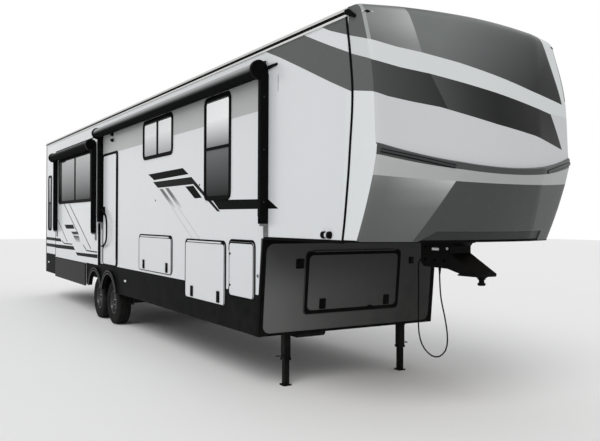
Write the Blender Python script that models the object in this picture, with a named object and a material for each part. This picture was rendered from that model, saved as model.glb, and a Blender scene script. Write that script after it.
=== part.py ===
"""Fifth wheel travel trailer, parked on its landing legs with its slide rooms in.

Metres. +X points to the nose, +Y to the off side and +Z up, so the entry door faces -Y.
The model is laid out from the front lower wall (x = 0), the centreline (y = 0) and the
ground (z = 0). One empty then carries it, so that the middle of its box is at the origin.
"""

import math
from collections import namedtuple

import bmesh
import bpy
from mathutils import Matrix, Vector

# Fits
SEAT = 0.0003  # gap between pieces that rest on each other
SWING = 0.006  # gap round a piece that moves

# Body box
HALF_WIDTH = 1.22
REAR_X = -11.30
WALL = 0.05
OVERHANG_Z = 1.655
ROOF_EDGE_Z = 3.70
ROOF_THICK = 0.06
ROOF_CROWN = 0.06
ROOF_REAR_LIP = 0.03
ROOF_SIDE_LIP = 0.012
FRONT_LEAN = 0.10
SEAM_BASE_X = 1.47
SEAM_TOP_X = 1.56

# Skirts and floors
SKIRT_THICK = 0.03
SKIRT_BASE_Z = 0.585
SKIRT_TOP_Z = 1.04
MAIN_FLOOR_THICK = 0.08
RISER_X = -4.30
UPPER_FLOOR_THICK = 0.09
STORAGE_FLOOR_Z = 0.81
STORAGE_FLOOR_THICK = 0.03

# Chassis
RAIL_Y = HALF_WIDTH - 0.37
RAIL_DEPTH = 0.30
RAIL_FLANGE = 0.08
RAIL_PLATE = 0.010
RAIL_FRONT_X = -0.30
CROSS_MEMBERS = 9
CROSS_WIDTH = 0.05
CROSS_DEPTH = 0.10
BELLY_THICK = 0.012

# Running gear
TYRE_RADIUS = 0.3875
TYRE_WIDTH = 0.235
RIM_RADIUS = 0.205
WHEEL_Y = HALF_WIDTH - 0.16
FRONT_AXLE_X = -5.748
AXLE_SPACING = 0.92
AXLE_TUBE_RADIUS = 0.038
SPRING_WIDTH = 0.045
SPRING_THICK = 0.030
SPRING_EYE_RISE = 0.10
TYRE_SIDES = 30
HUB_INNER = 0.030  # inner face of the hub, out from the wheel's middle

# Wheel arches
ARCH_Z = 0.45
ARCH_DROP = 0.15  # from the top of the skirt down to the arches
ARCH_RADIUS = SKIRT_TOP_Z - ARCH_DROP - ARCH_Z
FLARE_WIDTH = 0.06
FLARE_PROUD = 0.045
FLARE_SADDLE = 0.24  # top of the panel between the two arches, above the arch centres

# Doors
DOOR_PROUD = 0.008
DOOR_THICK = 0.042
HINGE_RADIUS = 0.010
HINGE_EDGE = 0.0025  # the jamb and the door each stop this far from the hinge line
FRONT_DOOR_HALF = 0.67
FRONT_DOOR_LOW = 0.215  # up the slope of the front wall, from its foot
FRONT_DOOR_HIGH = 0.925
FRONT_DOOR_CORNER = 0.05

# Bowed assist bar of the entry door
BAR_RADIUS = 0.011
BAR_LOW_Z = 1.36
BAR_HIGH_Z = 2.04
BAR_INSET = 0.05  # from the latch edge of the door
BAR_BOW = 0.22
BAR_STAND_OFF = 0.035
BAR_SINK = 0.004  # how far the ends run into the door
BAR_SIDES = 6
BAR_STEPS = 8

# Slide rooms
FASCIA_THICK = 0.035
FASCIA_LAP = 0.06
ROOM_WALL = 0.04
ROOM_LIFT = 0.012

# Windows
WINDOW_LAP = 0.022
WINDOW_PROUD = 0.014
WINDOW_BAR = 0.030
PANE_THICK = 0.006

# Awnings
ROLLER_RADIUS = 0.085
ROLLER_STAND_OFF = 0.11
ROLLER_HEAD = 0.012  # how much larger an end head is than the roll
ROLLER_SIDES = 16
ARM_WIDTH = 0.045
ARM_DEPTH = 0.10

# Pin box and king pin
PIN_X = 1.958
PIN_PLATE_Z = 1.343
PIN_BOX_HALF = 0.13
PIN_PLATE_HALF = 0.145
PIN_PLATE_THICK = 0.014
PIN_PLATE_BACK_X = 1.80
PIN_PLATE_CORNER_X = 1.99
PIN_PLATE_TIP_X = 2.05
PIN_PLATE_TIP_HALF = 0.09
PIN_BOX_BACK_X = 1.272

# Landing legs
LEG_X = -0.205
LEG_Y = HALF_WIDTH - 0.40
LEG_TUBE = 0.080
LEG_INNER = 0.062
LEG_SHOULDER_Z = 0.285
FOOT_SIZE = 0.10
FOOT_THICK = 0.010

# Free cord under the pin box
CORD_RADIUS = 0.007
CORD_POINTS = 56
CORD_Y = -0.09
CORD_ROUTE = (
    (1.252, 1.470),
    (1.246, 1.470),
    (1.225, 1.466),
    (1.206, 1.454),
    (1.194, 1.435),
    (1.190, 1.414),
    (1.190, 1.34),
    (1.194, 1.16),
    (1.193, 0.94),
    (1.200, 0.74),
    (1.255, 0.61),
    (1.370, 0.535),
    (1.490, 0.535),
    (1.590, 0.62),
    (1.610, 0.75),
    (1.575, 0.92),
    (1.520, 1.10),
    (1.500, 1.28),
    (1.500, 1.375),
)
GLAND_RADIUS = 0.013
GLAND_TOP_Z = 1.43
GLAND_SINK = 0.03  # how far the rear gland runs into the box

# Rear bumper and ladder
BUMPER_SIZE = 0.10
BUMPER_BASE_Z = 0.60
BUMPER_INSET = 0.05
LADDER_STAND_OFF = 0.09
LADDER_Y0 = HALF_WIDTH - 0.67
LADDER_Y1 = HALF_WIDTH - 0.27
LADDER_LOW_Z = 0.85
LADDER_TOP_DROP = 0.10
LADDER_RADIUS = 0.0127
RUNG_RADIUS = 0.0114
RUNG_END = 0.10
RUNG_COUNT = 9

RIGHT, LEFT = -1, 1  # the door side and the off side

Window = namedtuple("Window", "side x0 x1 z0 z1 split proud")
WINDOWS = {
    "window_rear_corner": Window(RIGHT, -11.05, -10.70, 1.60, 2.90, "level", 0.0),
    "window_double": Window(RIGHT, -3.96, -2.70, 2.78, 3.36, "upright", 0.0),
    "window_tall": Window(RIGHT, -1.57, -0.82, 2.10, 3.36, "level", 0.0),
    "window_slide_right": Window(RIGHT, -9.76, -6.95, 2.21, 3.155, "upright", FASCIA_THICK),
    "window_slide_left": Window(LEFT, -9.40, -7.60, 2.21, 3.155, "upright", FASCIA_THICK),
    "window_bedroom_left": Window(LEFT, -2.95, -1.95, 2.35, 3.10, "upright", FASCIA_THICK),
    "window_off_side": Window(LEFT, -5.60, -4.80, 2.45, 3.20, "level", 0.0),
}

# Openings closed by a hinged door: the hinge is along the top or an upright edge.
Door = namedtuple("Door", "side x0 x1 z0 z1 hinge corner")
DOORS = {
    "entry_door": Door(RIGHT, -6.20, -5.37, SKIRT_TOP_Z, 3.02, "front", 0.06),
    "bay_door_rear": Door(RIGHT, -4.14, -2.72, 1.075, 1.60, "top", 0.05),
    "bay_door_middle": Door(RIGHT, -2.20, -0.96, 0.83, 1.575, "top", 0.05),
    "utility_door": Door(RIGHT, -0.84, -0.21, 0.975, 1.60, "rear", 0.05),
    "bay_door_left": Door(LEFT, -2.20, -0.96, 0.83, 1.575, "top", 0.05),
}

# Slide rooms: face outline, floor level, depth into the body, and how far the face drops.
Room = namedtuple("Room", "side x0 x1 top_z floor_z depth drop_z drop_x")
ROOMS = {
    "slide_room_right": Room(RIGHT, -10.09, -6.40, 3.42, SKIRT_TOP_Z, 0.88, 0.55, -7.40),
    "slide_room_left": Room(LEFT, -10.09, -6.40, 3.42, SKIRT_TOP_Z, 0.80, 0.55, -7.40),
    "bedroom_room_left": Room(LEFT, -3.60, -1.30, 3.42, 1.79, 0.70, None, None),
}

# Rolled awnings: x of each arm, height of the roll, foot of the arms, wall face behind them.
Awning = namedtuple("Awning", "x0 x1 roller_z foot_z face")
AWNINGS = {
    "awning_main": Awning(-6.275, 0.075, 3.415, 1.79, HALF_WIDTH),
    "awning_slide": Awning(-9.90, -6.59, 3.24, 1.58, HALF_WIDTH + SEAT + FASCIA_THICK),
}

# Roof housings
AirUnit = namedtuple("AirUnit", "x length width height")
AIR_PROFILE = ((0.0, 1.0), (0.28, 0.99), (0.62, 0.95), (0.88, 0.88), (1.0, 0.74))  # height, size
AIR_CORNER = 0.07
AIR_UNITS = {
    "air_unit_rear": AirUnit(-8.2, 0.95, 0.68, 0.26),
    "air_unit_front": AirUnit(-1.0, 0.95, 0.68, 0.26),
}

# Nose cap rows from its foot up. side, bend and middle are how far the cap reaches at the
# body side, at the bend in its front and on the centreline; tip and centre are heights there.
# bend_y is how far out the bend is, and lining says whether the inner face follows the row.
CapRow = namedtuple("CapRow", "tip centre side bend_y bend middle lining")
CAP_THICK = 0.030
CAP_ROWS = (
    CapRow(1.655, 1.655, 1.675, 0.75, 1.86, 1.93, True),
    CapRow(2.230, 2.110, 1.910, 0.52, 2.19, 2.24, True),
    CapRow(2.400, 2.230, 1.955, 0.50, 2.25, 2.30, False),
    CapRow(2.480, 2.330, 1.965, 0.50, 2.25, 2.30, False),
    CapRow(2.500, 2.350, 1.945, 0.50, 2.21, 2.26, False),
    CapRow(3.100, 3.060, 1.895, 0.68, 2.03, 2.11, True),
    CapRow(3.560, 3.580, 1.765, 0.80, 1.90, 1.98, True),
    CapRow(3.680, 3.715, 1.715, 0.82, 1.83, 1.89, True),
    CapRow(3.715, 3.775, 1.660, 0.82, 1.76, 1.81, True),
)
CAP_CORNER = ((0.0, -0.035), (0.006, 0.0), (0.030, 0.025))  # in from the side, ahead of it
CAP_SHOULDER_Y = 0.12  # station between the corner and the bend
CAP_TRIM = 0.03  # how far the cap's body runs past the cut at its seam and foot

# Shallow recess at the foot of the cap, wider at its base on the door side
RECESS_DEPTH = 0.012
RECESS_TOP_Z = 1.753
RECESS_BASE_Y0 = -0.70
RECESS_TOP_Y0 = -0.54
RECESS_Y1 = 0.93


def clear_scene():
    """Remove what the file starts with."""
    for obj in list(bpy.data.objects):
        bpy.data.objects.remove(obj)


def material(name, colour, roughness, metallic=0.0):
    """A Principled material, made once and shared by name."""
    found = bpy.data.materials.get(name)
    if found:
        return found
    made = bpy.data.materials.new(name)
    made.use_nodes = True
    shader = made.node_tree.nodes["Principled BSDF"]
    shader.inputs["Base Color"].default_value = (*colour, 1.0)
    shader.inputs["Roughness"].default_value = roughness
    shader.inputs["Metallic"].default_value = metallic
    return made


def wall_white():
    return material("wall_white", (0.68, 0.70, 0.71), 0.35)


def skirt_black():
    return material("skirt_black", (0.025, 0.025, 0.027), 0.40)


def front_grey():
    return material("front_grey", (0.050, 0.050, 0.052), 0.40)


def nose_silver():
    return material("nose_silver", (0.55, 0.56, 0.57), 0.28)


def roof_white():
    return material("roof_white", (0.72, 0.72, 0.72), 0.60)


def trim_black():
    return material("trim_black", (0.008, 0.008, 0.009), 0.45)


def frame_black():
    return material("frame_black", (0.015, 0.015, 0.016), 0.50, 0.6)


def floor_board():
    return material("floor_board", (0.20, 0.15, 0.10), 0.60)


def window_dark():
    return material("window_dark", (0.03, 0.035, 0.04), 0.08)


def tyre_rubber():
    return material("tyre_rubber", (0.012, 0.012, 0.012), 0.80)


def rim_black():
    return material("rim_black", (0.02, 0.02, 0.021), 0.30, 0.8)


def bright_steel():
    return material("bright_steel", (0.55, 0.55, 0.56), 0.30, 1.0)


def signed_area(outline):
    """Twice the area of a 2D outline, positive when it runs anticlockwise."""
    pairs = zip(outline, outline[1:] + outline[:1])
    return sum(a[0] * b[1] - b[0] * a[1] for a, b in pairs)


def prism(outline, w0, w1, frame=Matrix()):
    """Mesh of an outline in a frame's first two axes, extruded along its third."""
    if signed_area(outline) < 0:
        outline = outline[::-1]
    bm = bmesh.new()
    low = [bm.verts.new((u, v, w0)) for u, v in outline]
    high = [bm.verts.new((u, v, w1)) for u, v in outline]
    bm.faces.new(low[::-1])
    bm.faces.new(high)
    count = len(outline)
    for i in range(count):
        j = (i + 1) % count
        bm.faces.new((low[i], low[j], high[j], high[i]))
    bm.transform(frame)
    return to_mesh(bm)


def to_mesh(bm):
    """Turn a bmesh into a mesh whose faces point out."""
    bmesh.ops.recalc_face_normals(bm, faces=bm.faces)
    mesh = bpy.data.meshes.new("shape")
    bm.to_mesh(mesh)
    bm.free()
    return mesh


def box(x0, x1, y0, y1, z0, z1):
    """Box mesh between two corners."""
    return prism([(x0, y0), (x1, y0), (x1, y1), (x0, y1)], z0, z1)


def rounded(u0, u1, v0, v1, radius, steps=4):
    """Rectangle outline with round corners."""
    if radius <= 0:
        return [(u0, v0), (u1, v0), (u1, v1), (u0, v1)]
    centres = (
        (u1 - radius, v0 + radius, -90),
        (u1 - radius, v1 - radius, 0),
        (u0 + radius, v1 - radius, 90),
        (u0 + radius, v0 + radius, 180),
    )
    points = []
    for cu, cv, start in centres:
        for i in range(steps + 1):
            angle = math.radians(start + 90 * i / steps)
            points.append((cu + radius * math.cos(angle), cv + radius * math.sin(angle)))
    return points


def circle(cu, cv, radius, sides, start=0.0):
    """Round outline about a centre."""
    angles = (start + 2 * math.pi * i / sides for i in range(sides))
    return [(cu + radius * math.cos(a), cv + radius * math.sin(a)) for a in angles]


def rod(start, end, radius, sides=12):
    """Round bar between two points."""
    start, end = Vector(start), Vector(end)
    along = end - start
    turn = along.to_track_quat("Z", "Y").to_matrix().to_4x4()
    return prism(circle(0, 0, radius, sides), 0, along.length, Matrix.Translation(start) @ turn)


def side_frame(side):
    """Frame with x, height and distance out from the centreline on one side."""
    return Matrix(((1, 0, 0, 0), (0, 0, side, 0), (0, 1, 0, 0), (0, 0, 0, 1)))


def revolve(profile, sides, frame=Matrix(), start=-math.pi / 2):
    """Closed ring turned from a closed profile of (radius, height) about the third axis."""
    bm = bmesh.new()
    rings = []
    for i in range(sides):
        angle = start + 2 * math.pi * i / sides
        across, up = math.cos(angle), math.sin(angle)
        rings.append([bm.verts.new((r * across, r * up, h)) for r, h in profile])
    count = len(profile)
    for i in range(sides):
        near, far = rings[i], rings[(i + 1) % sides]
        for j in range(count):
            k = (j + 1) % count
            bm.faces.new((near[j], far[j], far[k], near[k]))
    bm.transform(frame)
    return to_mesh(bm)


def lathe(profile, sides, frame=Matrix()):
    """Solid turned from (radius, height) points, closed on the axis at both ends."""
    bm = bmesh.new()
    rings = []
    for radius, height in profile:
        ring = circle(0, 0, radius, sides)
        rings.append([bm.verts.new((u, v, height)) for u, v in ring])
    for near, far in zip(rings, rings[1:]):
        for i in range(sides):
            j = (i + 1) % sides
            bm.faces.new((near[i], near[j], far[j], far[i]))
    bm.faces.new(rings[0][::-1])
    bm.faces.new(rings[-1])
    bm.transform(frame)
    return to_mesh(bm)


def combine(base, tools, operation):
    """Apply one Boolean after another to a mesh and return the result."""
    holder = bpy.data.objects.new("holder", base)
    bpy.context.scene.collection.objects.link(holder)
    helpers = []
    for mesh in tools:
        helper = bpy.data.objects.new("helper", mesh)
        bpy.context.scene.collection.objects.link(helper)
        helpers.append(helper)
        step = holder.modifiers.new("step", "BOOLEAN")
        step.operation = operation
        step.solver = "EXACT"
        step.object = helper
    graph = bpy.context.evaluated_depsgraph_get()
    made = bpy.data.meshes.new_from_object(holder.evaluated_get(graph), depsgraph=graph)
    for obj in [holder, *helpers]:
        bpy.data.objects.remove(obj)
    return made


def fuse(*meshes):
    """Join overlapping solids into one."""
    return combine(meshes[0], meshes[1:], "UNION")


def cut(base, *tools):
    """Take tools out of a solid."""
    return combine(base, tools, "DIFFERENCE")


def place(name, mesh, finish, carrier, origin=(0, 0, 0)):
    """Make a named object whose origin is on its joint's axis, carried by the empty."""
    mesh.transform(Matrix.Translation(-Vector(origin)))
    mesh.name = name
    mesh.materials.clear()
    mesh.materials.append(finish)
    mesh.shade_smooth()
    mesh.set_sharp_from_angle(angle=math.radians(32))
    obj = bpy.data.objects.new(name, mesh)
    obj.location = origin
    obj.parent = carrier
    bpy.context.scene.collection.objects.link(obj)
    return obj


def front_x(z):
    """Outer face of the leaning front lower wall."""
    return -FRONT_LEAN * (OVERHANG_Z - z) / (OVERHANG_Z - SKIRT_BASE_Z)


def seam_x(z):
    """Joint line between the body sides and the nose cap."""
    return SEAM_BASE_X + (SEAM_TOP_X - SEAM_BASE_X) * (z - OVERHANG_Z) / (ROOF_EDGE_Z - OVERHANG_Z)


def wall_top():
    """Top edge of the walls, under the roof."""
    return ROOF_EDGE_Z - ROOF_THICK - SEAT


def crown(y):
    """Height of the roof above its edge."""
    return ROOF_CROWN * (1 - (y / HALF_WIDTH) ** 2)


def jamb(door):
    """Opening that a door closes: x0, x1, z0, z1."""
    x0, x1, z0, z1 = door.x0, door.x1, door.z0, door.z1
    if door.hinge == "top":
        return x0 - SWING, x1 + SWING, z0 - SWING, z1 + HINGE_EDGE
    if door.hinge == "front":
        return x0 - SWING, x1 + HINGE_EDGE, z0 - SWING, z1 + SWING
    return x0 - HINGE_EDGE, x1 + SWING, z0 - SWING, z1 + SWING


def room_opening(room):
    """Opening that a slide room passes through: x0, x1, z0, z1."""
    base = room.floor_z if room.drop_z is None else room.floor_z - WALL
    return (
        room.x0 + FASCIA_LAP,
        room.x1 - FASCIA_LAP,
        base,
        room.top_z - FASCIA_LAP,
    )


def opening_tools(side):
    """Cutters for every opening on one side of the body."""
    frame = side_frame(side)
    low, high = HALF_WIDTH - 3 * WALL, HALF_WIDTH + WALL
    tools = []
    for window in WINDOWS.values():
        if window.side == side and window.proud == 0:
            outline = rounded(window.x0, window.x1, window.z0, window.z1, 0.05)
            tools.append(prism(outline, low, high, frame))
    for door in DOORS.values():
        if door.side == side:
            tools.append(prism(rounded(*jamb(door), door.corner), low, high, frame))
    for room in ROOMS.values():
        if room.side == side:
            tools.append(prism(rounded(*room_opening(room), 0), low, high, frame))
    return tools


def side_wall(side):
    """Laminated side with its door, window and slide openings."""
    back_x = REAR_X + WALL + SEAT
    low_front = front_x(SKIRT_TOP_Z) - WALL - SEAT
    outline = [
        (back_x, SKIRT_TOP_Z),
        (low_front, SKIRT_TOP_Z),
        (-WALL - SEAT, OVERHANG_Z),
        (SEAM_BASE_X - SEAT, OVERHANG_Z),
        (seam_x(wall_top()) - SEAT, wall_top()),
        (back_x, wall_top()),
    ]
    slab = prism(outline, HALF_WIDTH - WALL, HALF_WIDTH, side_frame(side))
    return cut(slab, *opening_tools(side))


def wheel_centres():
    """x of the front and the rear axle."""
    return FRONT_AXLE_X, FRONT_AXLE_X - AXLE_SPACING


def skirt(side):
    """Metal skirt below a side wall, open at the wheels and the bay doors."""
    top = SKIRT_TOP_Z - SEAT
    outline = [
        (REAR_X + WALL + SEAT, SKIRT_BASE_Z),
        (front_x(SKIRT_BASE_Z) - WALL - SEAT, SKIRT_BASE_Z),
        (front_x(top) - WALL - SEAT, top),
        (REAR_X + WALL + SEAT, top),
    ]
    frame = side_frame(side)
    slab = prism(outline, HALF_WIDTH - SKIRT_THICK, HALF_WIDTH, frame)
    low, high = HALF_WIDTH - 3 * WALL, HALF_WIDTH + WALL
    tools = [prism(circle(x, ARCH_Z, ARCH_RADIUS, 32), low, high, frame) for x in wheel_centres()]
    for door in DOORS.values():
        if door.side == side and door.z0 < SKIRT_TOP_Z - SWING:
            tools.append(prism(rounded(*jamb(door), door.corner), low, high, frame))
    return cut(slab, *tools)


def fender(side):
    """Double arch flare over the two wheels."""
    frame = side_frame(side)
    face = HALF_WIDTH + SEAT
    outer = [
        prism(circle(x, ARCH_Z, ARCH_RADIUS + FLARE_WIDTH, 40), face, face + FLARE_PROUD, frame)
        for x in wheel_centres()
    ]
    ends = (wheel_centres()[1], wheel_centres()[0])
    saddle = rounded(*ends, SKIRT_BASE_Z, ARCH_Z + FLARE_SADDLE, 0)
    outer.append(prism(saddle, face, face + FLARE_PROUD, frame))
    inner = [
        prism(circle(x, ARCH_Z, ARCH_RADIUS, 40), face - WALL, face + 2 * FLARE_PROUD, frame)
        for x in wheel_centres()
    ]
    reach = ARCH_RADIUS + 2 * FLARE_WIDTH
    back, front = wheel_centres()[1] - reach, wheel_centres()[0] + reach
    low = [(back, -reach), (front, -reach), (front, SKIRT_BASE_Z), (back, SKIRT_BASE_Z)]
    below = prism(low, face - WALL, face + 2 * FLARE_PROUD, frame)
    return cut(fuse(*outer), *inner, below)


def rear_wall():
    """Flat rear wall, down to the foot of the skirts."""
    return box(REAR_X, REAR_X + WALL, -HALF_WIDTH, HALF_WIDTH, SKIRT_BASE_Z, wall_top())


def front_wall_frame():
    """Frame of the leaning front wall: across, up the slope from its foot, and out of it."""
    slope = Vector((FRONT_LEAN, 0, OVERHANG_Z - SKIRT_BASE_Z)).normalized()
    out = Vector((slope.z, 0, -slope.x))
    foot = Vector((front_x(SKIRT_BASE_Z), 0, SKIRT_BASE_Z))
    columns = (Vector((0, 1, 0)), slope, out)
    frame = Matrix.Identity(4)
    for i, column in enumerate(columns):
        for row in range(3):
            frame[row][i] = column[row]
    frame.translation = foot
    return frame


def front_wall():
    """Leaning front lower wall with its access opening."""
    outline = [
        (front_x(SKIRT_BASE_Z), SKIRT_BASE_Z),
        (front_x(OVERHANG_Z - SEAT), OVERHANG_Z - SEAT),
        (front_x(OVERHANG_Z - SEAT) - WALL, OVERHANG_Z - SEAT),
        (front_x(SKIRT_BASE_Z) - WALL, SKIRT_BASE_Z),
    ]
    slab = prism(outline, -HALF_WIDTH, HALF_WIDTH, side_frame(LEFT))
    hole = rounded(
        -FRONT_DOOR_HALF - SWING,
        FRONT_DOOR_HALF + SWING,
        FRONT_DOOR_LOW - SWING,
        FRONT_DOOR_HIGH + HINGE_EDGE,
        FRONT_DOOR_CORNER,
    )
    return cut(slab, prism(hole, -2 * WALL, WALL, front_wall_frame()))


def hinge_out():
    """Distance of a hinge line outside the wall it is on."""
    return HINGE_RADIUS + SEAT


def front_door():
    """Access door in the front wall, with the hinge barrel along its top."""
    frame = front_wall_frame()
    leaf = rounded(
        -FRONT_DOOR_HALF,
        FRONT_DOOR_HALF,
        FRONT_DOOR_LOW,
        FRONT_DOOR_HIGH - HINGE_EDGE,
        FRONT_DOOR_CORNER,
    )
    slab = prism(leaf, DOOR_PROUD - DOOR_THICK, DOOR_PROUD, frame)
    half = FRONT_DOOR_HALF - 2 * FRONT_DOOR_CORNER
    ends = [frame @ Vector((y, FRONT_DOOR_HIGH, hinge_out())) for y in (-half, half)]
    return fuse(slab, rod(ends[0], ends[1], HINGE_RADIUS)), (ends[0] + ends[1]) / 2


def side_door(door):
    """Door leaf with its hinge barrel, and a point on the hinge line."""
    frame = side_frame(door.side)
    edge = HINGE_EDGE
    x0 = door.x0 + (edge if door.hinge == "rear" else 0)
    x1 = door.x1 - (edge if door.hinge == "front" else 0)
    z1 = door.z1 - (edge if door.hinge == "top" else 0)
    base = door.z0 + (SWING if door.z0 == SKIRT_TOP_Z else 0)
    leaf = rounded(x0, x1, base, z1, door.corner)
    face = HALF_WIDTH + DOOR_PROUD
    slab = prism(leaf, face - DOOR_THICK, face, frame)
    inset = 2 * door.corner
    out = HALF_WIDTH + hinge_out()
    if door.hinge == "top":
        ends = [(door.x0 + inset, door.z1), (door.x1 - inset, door.z1)]
    else:
        x = door.x1 if door.hinge == "front" else door.x0
        ends = [(x, base + inset), (x, door.z1 - inset)]
    ends = [frame @ Vector((x, z, out)) for x, z in ends]
    return fuse(slab, rod(ends[0], ends[1], HINGE_RADIUS)), (ends[0] + ends[1]) / 2


def grab_bar():
    """Bowed assist bar over the latch edge of the entry door."""
    x = DOORS["entry_door"].x0 + BAR_INSET
    face = -(HALF_WIDTH + DOOR_PROUD)
    out = face - BAR_STAND_OFF
    route = [(x, face + BAR_SINK, BAR_LOW_Z), (x, out, BAR_LOW_Z)]
    for i in range(1, BAR_STEPS):
        t = i / BAR_STEPS
        z = BAR_LOW_Z + (BAR_HIGH_Z - BAR_LOW_Z) * t
        route.append((x + BAR_BOW * math.sin(math.pi * t), out, z))
    route += [(x, out, BAR_HIGH_Z), (x, face + BAR_SINK, BAR_HIGH_Z)]
    bars = [rod(a, b, BAR_RADIUS, BAR_SIDES) for a, b in zip(route, route[1:])]
    knot = BAR_RADIUS * 1.05
    ball = [(knot * 0.35, -knot), (knot, -knot * 0.45), (knot, knot * 0.45), (knot * 0.35, knot)]
    return bars + [lathe(ball, BAR_SIDES, Matrix.Translation(p)) for p in route[1:-1]]


def slide_room(room):
    """Room box open to the inside, with a face that laps the wall round its opening."""
    frame = side_frame(room.side)
    x0, x1, _, z1 = room_opening(room)
    floor = room.floor_z + ROOM_LIFT
    outer = (x0 + SWING, x1 - SWING, floor, z1 - SWING)
    face = HALF_WIDTH + SEAT
    inside = face - room.depth
    shell = prism(rounded(*outer, 0), inside, face + FASCIA_THICK / 2, frame)
    hollow = (outer[0] + ROOM_WALL, outer[1] - ROOM_WALL, outer[2] + ROOM_WALL, outer[3] - ROOM_WALL)
    core = prism(rounded(*hollow, 0), inside - WALL, face, frame)
    if room.drop_z is None:
        outline = rounded(room.x0, room.x1, room.floor_z - FASCIA_LAP, room.top_z, 0)
    else:
        outline = [
            (room.x0, room.drop_z),
            (room.drop_x, room.drop_z),
            (room.drop_x, room.floor_z - FASCIA_LAP / 2),
            (room.x1, room.floor_z - FASCIA_LAP / 2),
            (room.x1, room.top_z),
            (room.x0, room.top_z),
        ]
    fascia = prism(outline, face, face + FASCIA_THICK, frame)
    holes = [
        prism(rounded(w.x0, w.x1, w.z0, w.z1, 0.05), inside - WALL, face + WALL, frame)
        for w in WINDOWS.values()
        if w.side == room.side and w.proud and room.x0 < w.x0 < room.x1
    ]
    return cut(fuse(shell, fascia), core, *holes)


def window_unit(window):
    """Flanged frame with a pane set back in each light, and a sleeve in the wall."""
    frame = side_frame(window.side)
    face = HALF_WIDTH + (SEAT if window.proud else 0) + window.proud
    lap, bar = WINDOW_LAP, WINDOW_BAR
    outer = rounded(window.x0 - lap, window.x1 + lap, window.z0 - lap, window.z1 + lap, 0.06)
    flange = prism(outer, face + SEAT, face + WINDOW_PROUD, frame)
    gap = 0.002
    sleeve = rounded(window.x0 + gap, window.x1 - gap, window.z0 + gap, window.z1 - gap, 0.048)
    plug = prism(sleeve, face - 0.03, face + WINDOW_PROUD / 2, frame)
    body = fuse(flange, plug)
    inner = (window.x0 + bar, window.x1 - bar, window.z0 + bar, window.z1 - bar)
    if window.split == "upright":
        middle = (window.x0 + window.x1) / 2
        lights = [
            (inner[0], middle - bar / 2, inner[2], inner[3]),
            (middle + bar / 2, inner[1], inner[2], inner[3]),
        ]
    else:
        middle = (window.z0 + window.z1) / 2
        lights = [
            (inner[0], inner[1], inner[2], middle - bar / 2),
            (inner[0], inner[1], middle + bar / 2, inner[3]),
        ]
    pane = face + 0.002
    tools = []
    for light in lights:
        outline = rounded(*light, 0.03)
        tools.append(prism(outline, pane, face + WALL, frame))
        tools.append(prism(outline, face - WALL, pane - PANE_THICK, frame))
    return cut(body, *tools)


def main_floor():
    """Floor of the living space, from the rear wall to the riser."""
    half = HALF_WIDTH - SKIRT_THICK - SEAT
    top = SKIRT_TOP_Z - SEAT
    return box(REAR_X + WALL + SEAT, RISER_X, -half, half, top - MAIN_FLOOR_THICK, top)


def nose_floor_outline():
    """Plan of the upper floor, from the riser to the inside of the nose cap."""
    half = HALF_WIDTH - WALL - SEAT
    inset = CAP_THICK + 0.012
    start = SEAM_BASE_X + 0.02
    points = [(RISER_X, -half), (start, -half)]
    bottom = CAP_ROWS[0]
    for y, x in cap_plan(bottom):
        if x > start + inset:
            points.append((x - inset, y * (half / HALF_WIDTH)))
    points += [(start, half), (RISER_X, half)]
    return points


def upper_floor():
    """Raised floor over the storage bay and the overhang, with its riser."""
    top = OVERHANG_Z + UPPER_FLOOR_THICK
    half = HALF_WIDTH - WALL - SEAT
    deck = prism(nose_floor_outline(), OVERHANG_Z, top)
    foot = STORAGE_FLOOR_Z + SEAT
    riser = box(RISER_X + SEAT, RISER_X + WALL, -half, half, foot, OVERHANG_Z + WALL)
    return fuse(deck, riser)


def storage_floor():
    """Floor of the storage bay, under the raised floor."""
    half = HALF_WIDTH - SKIRT_THICK - SEAT
    low = STORAGE_FLOOR_Z - STORAGE_FLOOR_THICK
    front = front_x(low) - WALL - SEAT
    lean = front_x(STORAGE_FLOOR_Z) - front_x(low)
    outline = [
        (RISER_X + SEAT, low),
        (front, low),
        (front + lean, STORAGE_FLOOR_Z),
        (RISER_X + SEAT, STORAGE_FLOOR_Z),
    ]
    return prism(outline, -half, half, side_frame(LEFT))


def roof():
    """Crowned roof sheet from the rear lip to the nose cap."""
    half = HALF_WIDTH + ROOF_SIDE_LIP
    steps = 8
    ys = [-half + 2 * half * i / steps for i in range(steps + 1)]
    top = [(y, ROOF_EDGE_Z + max(crown(y), 0.0)) for y in ys]
    base = ROOF_EDGE_Z - ROOF_THICK
    outline = [(-half, base), (half, base)] + top[::-1]
    along_x = Matrix(((0, 0, 1, 0), (1, 0, 0, 0), (0, 1, 0, 0), (0, 0, 0, 1)))
    return prism(outline, REAR_X - ROOF_REAR_LIP, seam_x(base) - SEAT, along_x)


def cap_plan(row):
    """(y, x) stations of one cap row, from the door side to the off side."""
    half = [(HALF_WIDTH - inward, row.side + ahead) for inward, ahead in CAP_CORNER]
    corner_y, corner_x = half[-1]
    shoulder_y = corner_y - CAP_SHOULDER_Y
    slope = (row.bend - corner_x) / (corner_y - row.bend_y)
    half.append((shoulder_y, corner_x + 1.1 * slope * CAP_SHOULDER_Y))
    half.append((row.bend_y, row.bend))
    half.append((row.bend_y / 2, row.bend + 0.7 * (row.middle - row.bend)))
    left = [(-y, x) for y, x in half]
    return left + [(0.0, row.middle)] + half[::-1]


def cap_height(row, y):
    """Height of a cap row, sagging between its tips."""
    share = 1 - (abs(y) / HALF_WIDTH) ** 2
    return row.tip + (row.centre - row.tip) * share


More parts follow.
